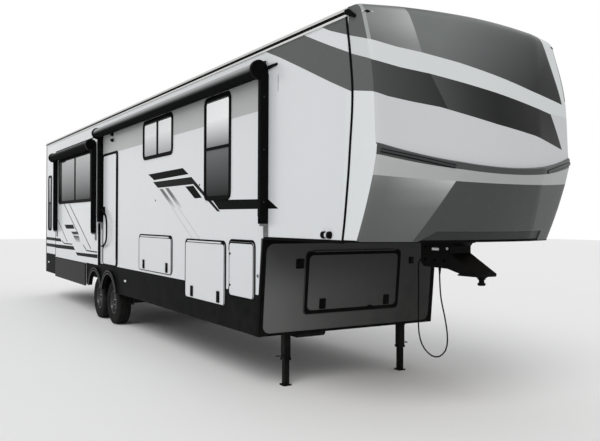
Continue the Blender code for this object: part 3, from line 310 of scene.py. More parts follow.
class Web:
    """Short way to place and link the nodes of one shader tree."""

    def __init__(self, tree: bpy.types.NodeTree) -> None:
        """Keep the tree that nodes are added to."""
        self.tree = tree

    def add(self, kind: str, values: Optional[dict] = None, **settings: object) -> bpy.types.Node:
        """Place a node.

        Args:
            kind: Blender's type name of the node.
            values: numbers or sockets for its inputs, by index or name.
            settings: attributes of the node.

        Returns:
            The node.
        """
        node = self.tree.nodes.new(kind)
        for key, value in settings.items():
            setattr(node, key, value)
        for key, value in (values or {}).items():
            if isinstance(value, bpy.types.NodeSocket):
                self.tree.links.new(value, node.inputs[key])
            else:
                node.inputs[key].default_value = value
        return node

    def math(self, operation: str, first: object, second: object = 0.0) -> bpy.types.NodeSocket:
        """Result of one arithmetic step."""
        return self.add("ShaderNodeMath", {0: first, 1: second}, operation=operation).outputs[0]

    def span(self, value: object, low: float, high: float) -> bpy.types.NodeSocket:
        """Value spread from 0 at low to 1 at high, held outside and eased between."""
        node = self.add("ShaderNodeMapRange", {0: value, 1: low, 2: high}, interpolation_type="SMOOTHSTEP")
        return node.outputs[0]

    def ramp(self, value: object, low: float, high: float) -> bpy.types.NodeSocket:
        """Value spread evenly from 0 at low to 1 at high, held outside."""
        return self.add("ShaderNodeMapRange", {0: value, 1: low, 2: high}).outputs[0]

    def mix(self, share: object, first: object, second: object) -> bpy.types.NodeSocket:
        """Colour between two, by a share from 0 to 1."""
        node = self.add("ShaderNodeMix", data_type="RGBA")
        for index, value in ((0, share), (6, first), (7, second)):
            if isinstance(value, bpy.types.NodeSocket):
                self.tree.links.new(value, node.inputs[index])
            elif index == 0:
                node.inputs[0].default_value = value
            else:
                node.inputs[index].default_value = (*value[:3], 1.0)
        return node.outputs[2]

    def noise(self, vector: object, scale: float, detail: float = 2.0) -> bpy.types.NodeSocket:
        """Noise value at a scale per metre."""
        values = {"Vector": vector, "Scale": scale, "Detail": detail}
        return self.add("ShaderNodeTexNoise", values).outputs[0]

    def layout(self) -> tuple[bpy.types.NodeSocket, list[bpy.types.NodeSocket]]:
        """Layout coordinates of the surface: the vector, and its x, y and z."""
        place = self.add("ShaderNodeTexCoord").outputs["Object"]
        moved = self.add("ShaderNodeVectorMath", {0: place, 1: SHIFT}, operation="SUBTRACT").outputs[0]
        parts = self.add("ShaderNodeSeparateXYZ", {0: moved})
        return moved, list(parts.outputs)

    def curve(self, value: object, points: Outline) -> bpy.types.NodeSocket:
        """Height of a line through points at a value, with straight runs between them.

        Args:
            value: where along the line.
            points: (value, height) pairs in order.

        Returns:
            The height there.
        """
        low, high = points[0][0], points[-1][0]
        base = min(z for _, z in points)
        top = max(z for _, z in points)
        node = self.add("ShaderNodeFloatCurve", {1: self.ramp(value, low, high)})
        line = node.mapping.curves[0]
        spots = [((p - low) / (high - low), (z - base) / (top - base)) for p, z in points]
        while len(line.points) < len(spots):
            line.points.new(0.5, 0.5)
        for point, spot in zip(line.points, spots):
            point.location = spot
            point.handle_type = "VECTOR"
        node.mapping.update()
        scaled = self.math("MULTIPLY", node.outputs[0], top - base)
        return self.math("ADD", scaled, base)

    def grey(self, value: object, levels: Outline) -> bpy.types.NodeSocket:
        """Slightly cool grey that follows 0 to 255 display levels along a value."""
        line = [(place, srgb(level, level, level)[1]) for place, level in levels]
        return self.mix(self.curve(value, line), (0.0, 0.0, 0.0), (0.97, 1.0, 1.0))


def shader_group(
    name: str, inputs: Sequence[tuple[str, str, object]], outputs: Sequence[tuple[str, str]]
) -> tuple[bpy.types.NodeTree, Web, bpy.types.Node, bpy.types.Node]:
    """New shader node group with named sockets.

    Args:
        name: name of the group.
        inputs: (name, socket type, default) of each input.
        outputs: (name, socket type) of each output.

    Returns:
        The group, a Web on it, its input node and its output node.
    """
    tree = bpy.data.node_groups.new(name, "ShaderNodeTree")
    for label, kind, default in inputs:
        socket = tree.interface.new_socket(label, in_out="INPUT", socket_type=kind)
        if default is not None:
            socket.default_value = default
    for label, kind in outputs:
        tree.interface.new_socket(label, in_out="OUTPUT", socket_type=kind)
    web = Web(tree)
    return tree, web, web.add("NodeGroupInput"), web.add("NodeGroupOutput")


def surface_group() -> bpy.types.NodeTree:
    """Fine grain, broad unevenness, road dust that gathers low down, and small chips."""
    found = bpy.data.node_groups.get("Weathered Surface")
    if found:
        return found
    inputs = [
        ("Vector", "NodeSocketVector", None),
        ("Height", "NodeSocketFloat", 1.0),
        ("Colour", "NodeSocketColor", (1, 1, 1, 1)),
        ("Grain Scale", "NodeSocketFloat", 400.0),
        ("Unevenness", "NodeSocketFloat", 0.05),
        ("Dust", "NodeSocketFloat", 0.1),
        ("Dust Colour", "NodeSocketColor", (0.30, 0.27, 0.23, 1)),
        ("Wear", "NodeSocketFloat", 0.0),
        ("Bare Colour", "NodeSocketColor", (0.4, 0.4, 0.4, 1)),
        ("Roughness", "NodeSocketFloat", 0.4),
    ]
    outputs = [
        ("Colour", "NodeSocketColor"),
        ("Roughness", "NodeSocketFloat"),
        ("Height", "NodeSocketFloat"),
    ]
    tree, web, start, end = shader_group("Weathered Surface", inputs, outputs)
    given = start.outputs
    broad = web.noise(given["Vector"], 0.9, 3.0)
    patch = web.noise(given["Vector"], 7.0, 4.0)
    grain = web.add(
        "ShaderNodeTexNoise",
        {"Vector": given["Vector"], "Scale": given["Grain Scale"], "Detail": 2.0},
    ).outputs[0]
    spread = web.math("MULTIPLY", web.math("SUBTRACT", broad, 0.5), given["Unevenness"])
    shade = web.math("ADD", 1.0, spread)
    tone = web.add("ShaderNodeVectorMath", {0: given["Colour"], 3: shade}, operation="SCALE").outputs[0]
    low = web.math("SUBTRACT", 1.0, web.span(given["Height"], 0.15, 1.5))
    settled = web.math("MULTIPLY", web.math("ADD", web.math("MULTIPLY", low, 0.85), 0.15), given["Dust"])
    settled = web.math("MULTIPLY", settled, web.span(patch, 0.25, 0.80))
    dusty = web.mix(settled, tone, given["Dust Colour"])
    chips = web.span(web.noise(given["Vector"], 55.0, 3.0), 0.66, 0.72)
    rubbed = web.math("MULTIPLY", chips, given["Wear"])
    rubbed = web.math("MULTIPLY", rubbed, web.span(patch, 0.45, 0.65))
    worn = web.mix(rubbed, dusty, given["Bare Colour"])
    web.tree.links.new(worn, end.inputs["Colour"])
    rough = web.math("ADD", given["Roughness"], web.math("MULTIPLY", settled, 0.35))
    rough = web.math("ADD", rough, web.math("MULTIPLY", web.math("SUBTRACT", patch, 0.5), 0.10))
    web.tree.links.new(rough, end.inputs["Roughness"])
    web.tree.links.new(grain, end.inputs["Height"])
    return tree


@dataclass(frozen=True)
class Finish:
    """One painted, moulded or bare surface."""

    name: str
    colour: Colour
    roughness: float = 0.4
    metallic: float = 0.0
    coat: float = 0.0
    grain_scale: float = 400.0
    relief: float = 0.0001
    unevenness: float = 0.05
    dust: float = 0.03
    wear: float = 0.0
    bare: Colour = (0.40, 0.40, 0.41)
    shine: float = 0.5
    edge: float = 1.0

    def paint(self, web: Web) -> object:
        """Colour before dust and wear: here one even colour.

        Args:
            web: nodes of the material.

        Returns:
            A colour, or a socket that gives one.
        """
        return self.colour

    def material(self) -> bpy.types.Material:
        """The material, made once, under a name that no material of the frame has."""
        label = f"look_{self.name}"
        found = bpy.data.materials.get(label)
        if found:
            return found
        made = bpy.data.materials.new(label)
        made.use_nodes = True
        web = Web(made.node_tree)
        shader = made.node_tree.nodes["Principled BSDF"]
        vector, parts = web.layout()
        group = web.add("ShaderNodeGroup", node_tree=surface_group())
        colour = self.paint(web)
        for label, value in (
            ("Vector", vector),
            ("Height", parts[2]),
            ("Colour", colour),
            ("Grain Scale", self.grain_scale),
            ("Unevenness", self.unevenness),
            ("Dust", self.dust),
            ("Wear", self.wear),
            ("Bare Colour", self.bare),
            ("Roughness", self.roughness),
        ):
            if isinstance(value, bpy.types.NodeSocket):
                made.node_tree.links.new(value, group.inputs[label])
            elif isinstance(value, tuple):
                group.inputs[label].default_value = (*value, 1.0)
            else:
                group.inputs[label].default_value = value
        made.node_tree.links.new(group.outputs["Colour"], shader.inputs["Base Color"])
        made.node_tree.links.new(group.outputs["Roughness"], shader.inputs["Roughness"])
        bump = web.add("ShaderNodeBump", {"Height": group.outputs["Height"], "Distance": self.relief})
        made.node_tree.links.new(bump.outputs[0], shader.inputs["Normal"])
        shader.inputs["Metallic"].default_value = self.metallic
        shader.inputs["Specular IOR Level"].default_value = self.shine
        shader.inputs["Coat Weight"].default_value = self.coat
        shader.inputs["Coat Roughness"].default_value = 0.06
        shader.inputs["Specular Tint"].default_value = (self.edge, self.edge, self.edge, 1.0)
        return made


@dataclass(frozen=True)
class SkyReflectionGlass(Finish):
    """Glass with a painted sky reflection that runs from dark at its foot to pale at its head."""

    foot: Colour = (0.2, 0.2, 0.2)
    z0: float = 0.0
    z1: float = 1.0
    hold: float = 0.55

    def paint(self, web: Web) -> object:
        """Colour of the painted reflection, fading from the foot to the head of the pane."""
        _, parts = web.layout()
        share = web.ramp(parts[2], self.z0, self.z0 + (self.z1 - self.z0) * self.hold)
        return web.mix(share, self.foot, self.colour)


@dataclass(frozen=True)
class FadingStripe(Finish):
    """Stripe that fades into the wall towards its lower end."""

    into: Colour = (0.68, 0.70, 0.71)
    z0: float = 0.0
    z1: float = 1.0

    def paint(self, web: Web) -> object:
        """Colour that fades with height."""
        _, parts = web.layout()
        return web.mix(web.span(parts[2], self.z0, self.z1), self.into, self.colour)


@dataclass(frozen=True)
class RolledFabric(Finish):
    """Coated awning fabric wound on a tube, with a pale painted highlight over the top of the roll where its
    metal cover laps over.
    """

    # Pale colour painted over the top of the roll as a highlight, and the height where it begins.
    cover: Colour = srgb(168, 171, 171)
    highlight_z: float = 3.45

    def paint(self, web: Web) -> object:
        """Dark fabric with faint bands along the roll, under a pale painted highlight along its top."""
        vector, parts = web.layout()
        bands = web.add(
            "ShaderNodeTexWave", {"Vector": vector, "Scale": 1.7, "Distortion": 0.6}, bands_direction="X"
        )
        faint = web.math("MULTIPLY", bands.outputs[0], 0.35)
        cloth = web.mix(faint, self.colour, tuple(1.6 * c for c in self.colour))
        # Painted highlight: the roll turns pale above a height, as if lit from above.
        return web.mix(web.span(parts[2], self.highlight_z - 0.050, self.highlight_z + 0.040), cloth, self.cover)


@dataclass(frozen=True)
class Board(Finish):
    """Sheet board with long figure along the trailer."""

    def paint(self, web: Web) -> object:
        """Two browns mixed by stretched noise."""
        vector, _ = web.layout()
        long = web.add(
            "ShaderNodeVectorMath", {0: vector, 1: (0.8, 9.0, 9.0)}, operation="MULTIPLY"
        ).outputs[0]
        return web.mix(web.noise(long, 2.5, 5.0), self.colour, tuple(0.55 * c for c in self.colour))


# Edges of the painted bands. The first number is x + y, which grows along the door side
# and on across the nose; the second is the height there.
PALE_TOP: Outline = [
    (-0.14, 3.652), (0.045, 3.579), (0.341, 3.471), (0.60, 3.386), (0.94, 3.329),
    (1.224, 3.300), (1.68, 3.240), (2.272, 3.141), (2.58, 3.087), (3.083, 3.015),
]
PALE_FOOT: Outline = [
    (-0.465, 3.660), (-0.157, 3.530), (0.046, 3.443), (0.361, 3.310), (0.688, 3.195),
    (0.994, 3.147), (1.325, 3.114), (1.682, 3.065), (2.146, 2.999), (2.865, 2.893),
]
DARK_FOOT: Outline = [
    (-1.229, 3.667), (-0.88, 3.519), (-0.482, 3.347), (0.049, 3.113), (0.375, 2.982),
    (0.674, 2.929), (0.864, 2.887), (1.144, 2.852), (1.456, 2.821), (1.685, 2.783),
    (2.143, 2.707), (2.648, 2.644), (3.043, 2.556),
]


# Distance of the face's crease from the centreline, by height.
CREASE: Outline = [(2.50, 0.50), (2.81, 0.56), (3.10, 0.68), (3.32, 0.742), (3.75, 0.823)]


@dataclass(frozen=True)
class LowerHighlightPaint(Finish):
    """Dark lower nose panel with a painted highlight on its facet by the door side, which is lighter than the
    rest.
    """

    def paint(self, web: Web) -> object:
        """Centre colour, and a painted highlight that brightens upward and toward the crease on the door
        side's outer facet.
        """
        _, (_, y, z) = web.layout()
        outer = web.math("LESS_THAN", y, web.curve(z, [(1.655, -0.75), (2.23, -0.52)]))
        # Painted highlight levels of the outer facet, at its outer edge and by the crease.
        edge = web.grey(z, [(1.655, 98), (1.95, 103), (2.10, 108), (2.23, 124)])
        crease = web.grey(z, [(1.655, 104), (1.95, 118), (2.10, 160), (2.23, 212)])
        return web.mix(outer, self.colour, web.mix(web.ramp(y, -1.10, -0.55), edge, crease))


@dataclass(frozen=True)
class FrontShadePaint(Finish):
    """Metallic front wall with painted shade that darkens it towards its off side and towards its head under
    the overhang.
    """

    # Painted shade tones: under the overhang at the head, and toward the off side.
    head: Colour = srgb(64, 65, 65)
    far: Colour = srgb(44, 45, 45)

    def paint(self, web: Web) -> object:
        """Blend of the wall's colour and two painted shade tones by place."""
        _, (_, y, z) = web.layout()
        near = web.mix(web.span(z, 0.95, 1.55), self.colour, self.head)
        return web.mix(web.ramp(y, -1.15, 0.85), near, self.far)


@dataclass(frozen=True)
class NosePaint(Finish):
    """Moulded nose in pale silver, with a grey head, a pale band and a dark band below it, and painted shade,
    highlights and reflections on the head and the dark band.
    """

    side_grey: Colour = srgb(96, 99, 98)
    head_grey: Colour = srgb(113, 117, 116)
    # Painted shade that the grey head darkens into toward its lower off side, also used for the dark strip
    # down the off side edge.
    head_dark: Colour = srgb(20, 21, 22)
    # Painted shade along the top of the head, where it turns back.
    head_top_shade: Colour = srgb(62, 64, 64)
    # Painted highlight along the corner between the face and the side return.
    corner_highlight: Colour = srgb(158, 162, 161)
    pale: Colour = srgb(208, 212, 212)
    side_white: Colour = srgb(222, 226, 227)

    def paint(self, web: Web) -> object:
        """Bands laid out over the cap by x + y and height."""
        _, (x, y, z) = web.layout()
        along = web.math("ADD", x, y)
        pale_top = web.curve(along, PALE_TOP)
        pale_foot = web.curve(along, PALE_FOOT)
        dark_foot = web.curve(along, DARK_FOOT)
        on_side = web.math("LESS_THAN", y, -1.2135)
        far_side = web.math("GREATER_THAN", y, 1.2135)
        # Main face, a little brighter where it turns back along the side.
        flank = web.math("MAXIMUM", on_side, far_side)
        colour = web.mix(flank, self.colour, self.side_white)
        above_dark = web.math("GREATER_THAN", z, dark_foot)
        slant = web.math("MULTIPLY", web.math("SUBTRACT", 2.893, z), 0.528)
        before_end = web.math("LESS_THAN", y, web.math("ADD", 0.85, slant))
        # The outer facets start where the face is creased.
        crease = web.curve(z, CREASE)
        facet = web.math("LESS_THAN", y, web.math("MULTIPLY", crease, -1.0))
        # Painted reflection in the dark band: darker toward the off side, with a paler painted sheen on the
        # outer facet by the door side.
        inner = web.grey(y, [(-0.64, 74), (-0.30, 50), (0.0, 32), (0.45, 22), (0.95, 12)])
        dark_tone = web.mix(facet, inner, web.grey(y, [(-1.22, 75), (-0.60, 47)]))
        dark_tone = web.mix(on_side, dark_tone, self.side_grey)
        colour = web.mix(web.math("MULTIPLY", above_dark, before_end), colour, dark_tone)
        above_pale = web.math("GREATER_THAN", z, pale_foot)
        colour = web.mix(above_pale, colour, self.pale)
        above_head = web.math("GREATER_THAN", z, pale_top)
        edge = web.math("MULTIPLY", web.math("SUBTRACT", 3.47, z), 0.25)
        before_edge = web.math("LESS_THAN", y, web.math("ADD", 1.0, edge))
        # Painted shade on the grey head, growing toward the off side and further down.
        shade_fall = web.math("MULTIPLY", web.math("SUBTRACT", 3.62, z), 0.55)
        head_shade_share = web.math("ADD", web.math("MULTIPLY", web.ramp(y, -0.55, 0.95), 0.85), shade_fall)
        head = web.mix(web.ramp(head_shade_share, 0.10, 0.95), self.head_grey, self.head_dark)
        # Painted highlight on the head's outer facet by the door side, brightest high up.
        lower = web.grey(y, [(-1.20, 108), (-0.80, 136)])
        upper = web.grey(y, [(-1.20, 130), (-1.00, 148), (-0.78, 176)])
        facet_highlight = web.mix(web.span(z, 3.32, 3.60), lower, upper)
        head = web.mix(facet, head, facet_highlight)
        # Painted shade along the top of the head, where it turns back.
        head = web.mix(web.span(z, 3.665, 3.735), head, self.head_top_shade)
        # Painted highlight: a pale line down the corner between the face and the door side return.
        head = web.mix(web.math("LESS_THAN", y, -1.192), head, self.corner_highlight)
        head = web.mix(on_side, head, self.side_grey)
        colour = web.mix(web.math("MULTIPLY", above_head, before_edge), colour, head)
        # A dark strip runs down the off side edge, past a thin pale line.
        strip = web.math("MULTIPLY", web.math("GREATER_THAN", z, 3.06), web.math("LESS_THAN", z, 3.63))
        colour = web.mix(
            web.math("MULTIPLY", strip, web.math("GREATER_THAN", y, 1.178)), colour, self.head_dark
        )
        # The far return repeats the near one.
        back = web.math("SUBTRACT", x, HALF_WIDTH)
        far_dark = web.math("GREATER_THAN", z, web.curve(back, DARK_FOOT))
        far = web.mix(far_dark, self.side_white, self.side_grey)
        far = web.mix(web.math("GREATER_THAN", z, web.curve(back, PALE_FOOT)), far, self.pale)
        far = web.mix(web.math("GREATER_THAN", z, web.curve(back, PALE_TOP)), far, self.side_grey)
        return web.mix(far_side, colour, far)


WALL_COLOUR = srgb(216, 219, 221)
WALL = Finish(
    "wall_gelcoat", WALL_COLOUR, 0.30, coat=0.25, grain_scale=260, relief=0.0002, dust=0.05, unevenness=0.04
)
BAND = Finish("band_grey", srgb(178, 180, 180), 0.32, coat=0.1, shine=0.2)
SIDE_GREY = Finish("side_grey", srgb(94, 97, 96), 0.28, shine=0.05, dust=0.02)
STRIPE = Finish("stripe_black", srgb(17, 18, 18), 0.30, dust=0.02, shine=0.005)
STRIPE_DARK = Finish("stripe_charcoal", srgb(35, 36, 36), 0.30, dust=0.02, shine=0.005)
FADING = FadingStripe("stripe_fading", srgb(60, 61, 61), 0.30, into=WALL_COLOUR, z0=1.96, z1=2.22)
SLIDE_FADING = FadingStripe(
    "slide_stripe_fading", srgb(26, 27, 27), 0.30, shine=0.02, into=WALL_COLOUR, z0=1.34, z1=1.54
)
LINE = Finish("line_grey", srgb(180, 182, 182), 0.34, shine=0.1)
SLIDE_LINE = Finish("slide_line_grey", srgb(54, 56, 56), 0.34, dust=0.02, shine=0.01)
SKIRT = Finish("skirt_metal", srgb(22, 23, 24), 0.42, grain_scale=180, relief=0.0003, dust=0.04, shine=0.005)
SLIDE_SKIRT = Finish(
    "slide_skirt_metal", srgb(56, 56, 57), 0.42, grain_scale=180, relief=0.0003, dust=0.08, shine=0.01
)
FLARE_RIM = Finish("flare_rim", srgb(92, 93, 94), 0.40, relief=0.0003, dust=0.06, shine=0.02)
FRONT = FrontShadePaint(
    "front_metallic", srgb(98, 99, 99), 0.34, metallic=0.1, grain_scale=1400, dust=0.06, shine=0.12
)
NOSE = NosePaint(
    "nose_paint", srgb(199, 200, 202), 0.24, coat=0.03, shine=0.06, grain_scale=120, relief=0.0002, dust=0.02,
    unevenness=0.03
)
BELT = Finish("nose_belt", srgb(72, 75, 74), 0.30, coat=0.02, shine=0.06, relief=0.0002)
BELT_UNDER = Finish("nose_belt_under", srgb(176, 178, 177), 0.30, coat=0.02, shine=0.06, relief=0.0002)
NOSE_LOWER = LowerHighlightPaint("nose_lower", srgb(76, 78, 77), 0.26, coat=0.02, shine=0.06, relief=0.0002)
# Painted shade: the recess at the foot of the nose is coloured darker than the panel round it.
NOSE_RECESS_SHADE = Finish("nose_recess", srgb(58, 60, 59), 0.34, shine=0.05, relief=0.0002)
MEMBRANE = Finish(
    "roof_membrane", srgb(222, 222, 220), 0.62, grain_scale=90, relief=0.0012, dust=0.10, unevenness=0.10
)
ROOF_PLASTIC = Finish("roof_plastic", srgb(205, 206, 204), 0.50, grain_scale=300, relief=0.0006, dust=0.10)
TRIM = Finish("trim_black", srgb(13, 14, 14), 0.42, grain_scale=700, relief=0.0005, shine=0.006)
GLOSS_BLACK = Finish("gloss_black", srgb(12, 12, 13), 0.20, shine=0.02, dust=0.02)
RUBBER_SEAL = Finish("seal_rubber", srgb(18, 18, 18), 0.75, grain_scale=900, relief=0.0005, shine=0.008)
FRAME = Finish(
    "frame_enamel", srgb(18, 18, 19), 0.45, grain_scale=220, relief=0.0008, dust=0.10, wear=0.20, shine=0.05
)
HITCH = Finish("hitch_enamel", srgb(12, 12, 12), 0.40, grain_scale=260, relief=0.0006, shine=0.04)
STEEL = Finish(
    "bright_steel", (0.56, 0.56, 0.57), 0.28, metallic=1.0, grain_scale=500, relief=0.0003, dust=0.05
)
DARK_STEEL = Finish(
    "dark_steel", (0.05, 0.05, 0.052), 0.38, metallic=0.8, grain_scale=500, relief=0.0003, dust=0.05
)
ALUMINIUM = Finish(
    "mill_aluminium", (0.62, 0.63, 0.64), 0.34, metallic=0.9, grain_scale=600, relief=0.0002, dust=0.06
)
RUBBER = Finish("tyre_rubber", srgb(24, 24, 25), 0.78, grain_scale=500, relief=0.0010, dust=0.05, shine=0.04)
RIM_BLACK = Finish("rim_black", srgb(62, 62, 63), 0.26, metallic=0.4, shine=0.25, relief=0.0002, dust=0.05)
FABRIC = RolledFabric(
    "awning_fabric", srgb(20, 21, 21), 0.70, grain_scale=1500, relief=0.0010, dust=0.02, shine=0.004
)
# The slide awning's roll gets a darker grey painted highlight over its top.
SLIDE_FABRIC = RolledFabric(
    "slide_awning_fabric", srgb(20, 21, 21), 0.70, grain_scale=1500, relief=0.0010, dust=0.02, shine=0.004,
    cover=srgb(90, 92, 92), highlight_z=3.30
)
ARM = Finish("awning_arm", srgb(15, 15, 16), 0.36, grain_scale=400, relief=0.0002, dust=0.02, shine=0.006)
BRACKET = Finish(
    "awning_bracket", srgb(112, 114, 114), 0.36, grain_scale=400, relief=0.0002, dust=0.04, shine=0.05
)
BOARD = Board("floor_board", (0.24, 0.17, 0.11), 0.55, grain_scale=200, relief=0.0010, dust=0.05)
RED_LENS = Finish("lens_red", (0.42, 0.012, 0.010), 0.12, coat=0.6, dust=0.04)
CLEAR_LENS = Finish("lens_clear", srgb(205, 210, 214), 0.10, coat=0.7, dust=0.02)
SMOKED = Finish("lens_smoked", srgb(58, 60, 61), 0.12, coat=0.05, shine=0.05, dust=0.02)
CORD_RUBBER = Finish(
    "cord_rubber", srgb(13, 13, 13), 0.55, grain_scale=1200, relief=0.0003, dust=0.04, shine=0.03
)


class Shape:
    """Mesh put together from closed forms, in layout coordinates."""

    def __init__(self) -> None:
        """Start with nothing."""
        self.bm = bmesh.new()

    def grid(self, rings: Sequence[Sequence[Vector]], wrap: bool = True, caps: bool = True) -> "Shape":
        """Skin over rows of points.

        Args:
            rings: rows with the same number of points.
            wrap: whether the last point of a row joins its first.
            caps: whether the first and last rows are closed with a face.

        Returns:
            This shape.
        """
        rows = [[self.bm.verts.new(p) for p in ring] for ring in rings]
        count = len(rows[0])
        for near, far in zip(rows, rows[1:]):
            for i in range(count if wrap else count - 1):
                j = (i + 1) % count
                self.bm.faces.new((near[i], near[j], far[j], far[i]))
        if caps:
            self.bm.faces.new(rows[0][::-1])
            self.bm.faces.new(rows[-1])
        return self

    def slab(self, outline: Sequence[Point2], low: float, high: float, plane: Matrix = Matrix()) -> "Shape":
        """Outline in a plane's first two axes, drawn out along its third.

        Args:
            outline: corner points.
            low, high: ends along the third axis.
            plane: the frame that the outline is in.

        Returns:
            This shape.
        """
        ends = [[plane @ Vector((u, v, w)) for u, v in outline] for w in (low, high)]
        return self.grid(ends)

    def taper(self, levels: Sequence[tuple[float, Sequence[Point2]]], plane: Matrix = Matrix()) -> "Shape":
        """Solid through outlines at several levels, such as a bevelled plate.

        Args:
            levels: (height, outline) pairs with outlines of equal length.
            plane: the frame that they are in.

        Returns:
            This shape.
        """
        return self.grid([[plane @ Vector((u, v, w)) for u, v in outline] for w, outline in levels])

    def ring(
        self, outer: Sequence[Point2], inner: Sequence[Point2], low: float, high: float,
        plane: Matrix = Matrix(), edge: float = 0.0
    ) -> "Shape":
        """Flat frame between two outlines of equal length, with its outer face's edges eased.

        Args:
            outer, inner: the two outlines.
            low, high: back and front of the frame along the plane's third axis.
            plane: the frame that they are in.
            edge: how far the front edges are eased.

        Returns:
            This shape.
        """

        def between(share: float) -> list[Point2]:
            return [
                (a[0] + (b[0] - a[0]) * share, a[1] + (b[1] - a[1]) * share) for a, b in zip(outer, inner)
            ]

        width = math.dist(outer[0], inner[0])
        ease = min(edge / width, 0.45) if width else 0.0
        levels = [
            (low, between(0)), (high - edge, between(0)), (high, between(ease)), (high, between(1 - ease)),
            (high - edge, between(1)), (low, between(1))
        ]
        rings = [[plane @ Vector((u, v, w)) for u, v in line] for w, line in levels]
        rows = [[self.bm.verts.new(p) for p in ring] for ring in rings]
        count = len(outer)
        for k, near in enumerate(rows):
            far = rows[(k + 1) % len(rows)]
            if edge == 0.0 and k in (1, 3):
                continue
            for i in range(count):
                j = (i + 1) % count
                self.bm.faces.new((near[i], near[j], far[j], far[i]))
        if edge == 0.0:
            bmesh.ops.remove_doubles(self.bm, verts=[v for row in rows for v in row], dist=1e-7)
        return self

    def box(self, x: Point2, y: Point2, z: Point2) -> "Shape":
        """Box between two corners."""
        return self.slab(rect(*x, *y), z[0], z[1])

    def rod(self, start: Sequence[float], end: Sequence[float], radius: float, sides: int = 16) -> "Shape":
        """Round bar between two points."""
        start, end = Vector(start), Vector(end)
        along = end - start
        turn = Matrix.Translation(start) @ along.to_track_quat("Z", "Y").to_matrix().to_4x4()
        return self.slab(circle(radius, sides), 0.0, along.length, turn)

    def lathe(
        self, profile: Sequence[Point2], sides: int, plane: Matrix = Matrix(), closed: bool = False
    ) -> "Shape":
        """Form turned about a plane's third axis.

        Args:
            profile: (radius, height) points.
            sides: segments round the axis.
            plane: the frame whose third axis is the axis of turning.
            closed: whether the profile closes on itself, as for a tyre.

        Returns:
            This shape.
        """
        rings = [[plane @ Vector((u, v, h)) for u, v in circle(r, sides)] for r, h in profile]
        if closed:
            return self.grid(rings + [rings[0]], caps=False).weld()
        return self.grid(rings)

    def sweep(
        self, path: Sequence[Vector], section: Sequence[Point2], out: Vector, closed: bool = False
    ) -> "Shape":
        """Section carried along a path, mitred at its corners.

        Args:
            path: points of the path.
            section: (across, out) points of the section.
            out: direction that the section's second number is measured in.
            closed: whether the path closes on itself.

        Returns:
            This shape.
        """
        out = out.normalized()
        rings = []
        count = len(path)
        for i, point in enumerate(path):
            before = path[(i - 1) % count] if closed or i else point
            after = path[(i + 1) % count] if closed or i < count - 1 else point
            first = (point - before).normalized() if point != before else (after - point).normalized()
            second = (after - point).normalized() if point != after else first
            tangent = (first + second).normalized()
            across = tangent.cross(out).normalized()
            stretch = 1 / max(0.35, tangent.dot(first))
            rings.append([point + across * (u * stretch) + out * v for u, v in section])
        if closed:
            return self.grid(rings + [rings[0]], caps=False).weld()
        return self.grid(rings)

    def tube(
        self, path: Sequence[Vector], radius: float, sides: int = 12, radii: Sequence[float] = ()
    ) -> "Shape":
        """Round bar that follows a path, with its own radius at each point if radii are given."""
        rings = []
        normal = Vector((0, 0, 1))
        for i, point in enumerate(path):
            tangent = (path[min(i + 1, len(path) - 1)] - path[max(i - 1, 0)]).normalized()
            normal = (normal - tangent * normal.dot(tangent))
            if normal.length < 1e-4:
                normal = tangent.orthogonal()
            normal.normalize()
            side = tangent.cross(normal)
            rings.append(
                [point + normal * u + side * v for u, v in circle(radii[i] if radii else radius, sides)]
            )
        return self.grid(rings)

    def weld(self) -> "Shape":
        """Join points that coincide."""
        bmesh.ops.remove_doubles(self.bm, verts=self.bm.verts, dist=1e-6)
        return self

    def piece(
        self,
        name: str,
        finish: Finish,
        body: str = "trailer",
        bevel: float = 0.0,
        smooth: float = 35.0,
        replaces: Sequence[str] = (),
        more: Sequence[Finish] = (),
    ) -> bpy.types.Object:
        """Turn the shape into a finished piece that rides on a body.

        Args:
            name: name of the piece.
            finish: what it is made of or painted with.
            body: body that it moves with.
            bevel: width of the rounding on its edges, or 0.
            smooth: largest angle in degrees that is shaded smooth.
            replaces: nodes that it stands for.
            more: further finishes for faces whose material index is above 0.

        Returns:
            The object.
        """
        bmesh.ops.recalc_face_normals(self.bm, faces=self.bm.faces)
        self.bm.transform(Matrix.Translation(SHIFT))
        mesh = bpy.data.meshes.new(name)
        self.bm.to_mesh(mesh)
        self.bm.free()
        for each in (finish, *more):
            mesh.materials.append(each.material())
        mesh.shade_smooth()
        mesh.set_sharp_from_angle(angle=math.radians(smooth))
        obj = bpy.data.objects.new(name, mesh)
        bpy.context.scene.collection.objects.link(obj)
        if bevel:
            step = obj.modifiers.new("Eased edges", "BEVEL")
            step.width = bevel
            step.segments = 2
            step.limit_method = "ANGLE"
            step.angle_limit = math.radians(35)
            step.harden_normals = True
        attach(obj, body)
        if replaces:
            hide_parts(*replaces)
        LOG.info("%s: %d faces on %s", name, len(mesh.polygons), body)
        return obj


def dress(finish: Finish, *nodes: str) -> None:
    """Give CAD nodes a finish.

    Args:
        finish: the finish.
        nodes: names of the nodes.
    """
    for node in nodes:
        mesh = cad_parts[node].data
        mesh.materials.clear()
        mesh.materials.append(finish.material())
        mesh.shade_smooth()
        mesh.set_sharp_from_angle(angle=math.radians(30))
        LOG.info("%s dressed in %s", node, finish.name)


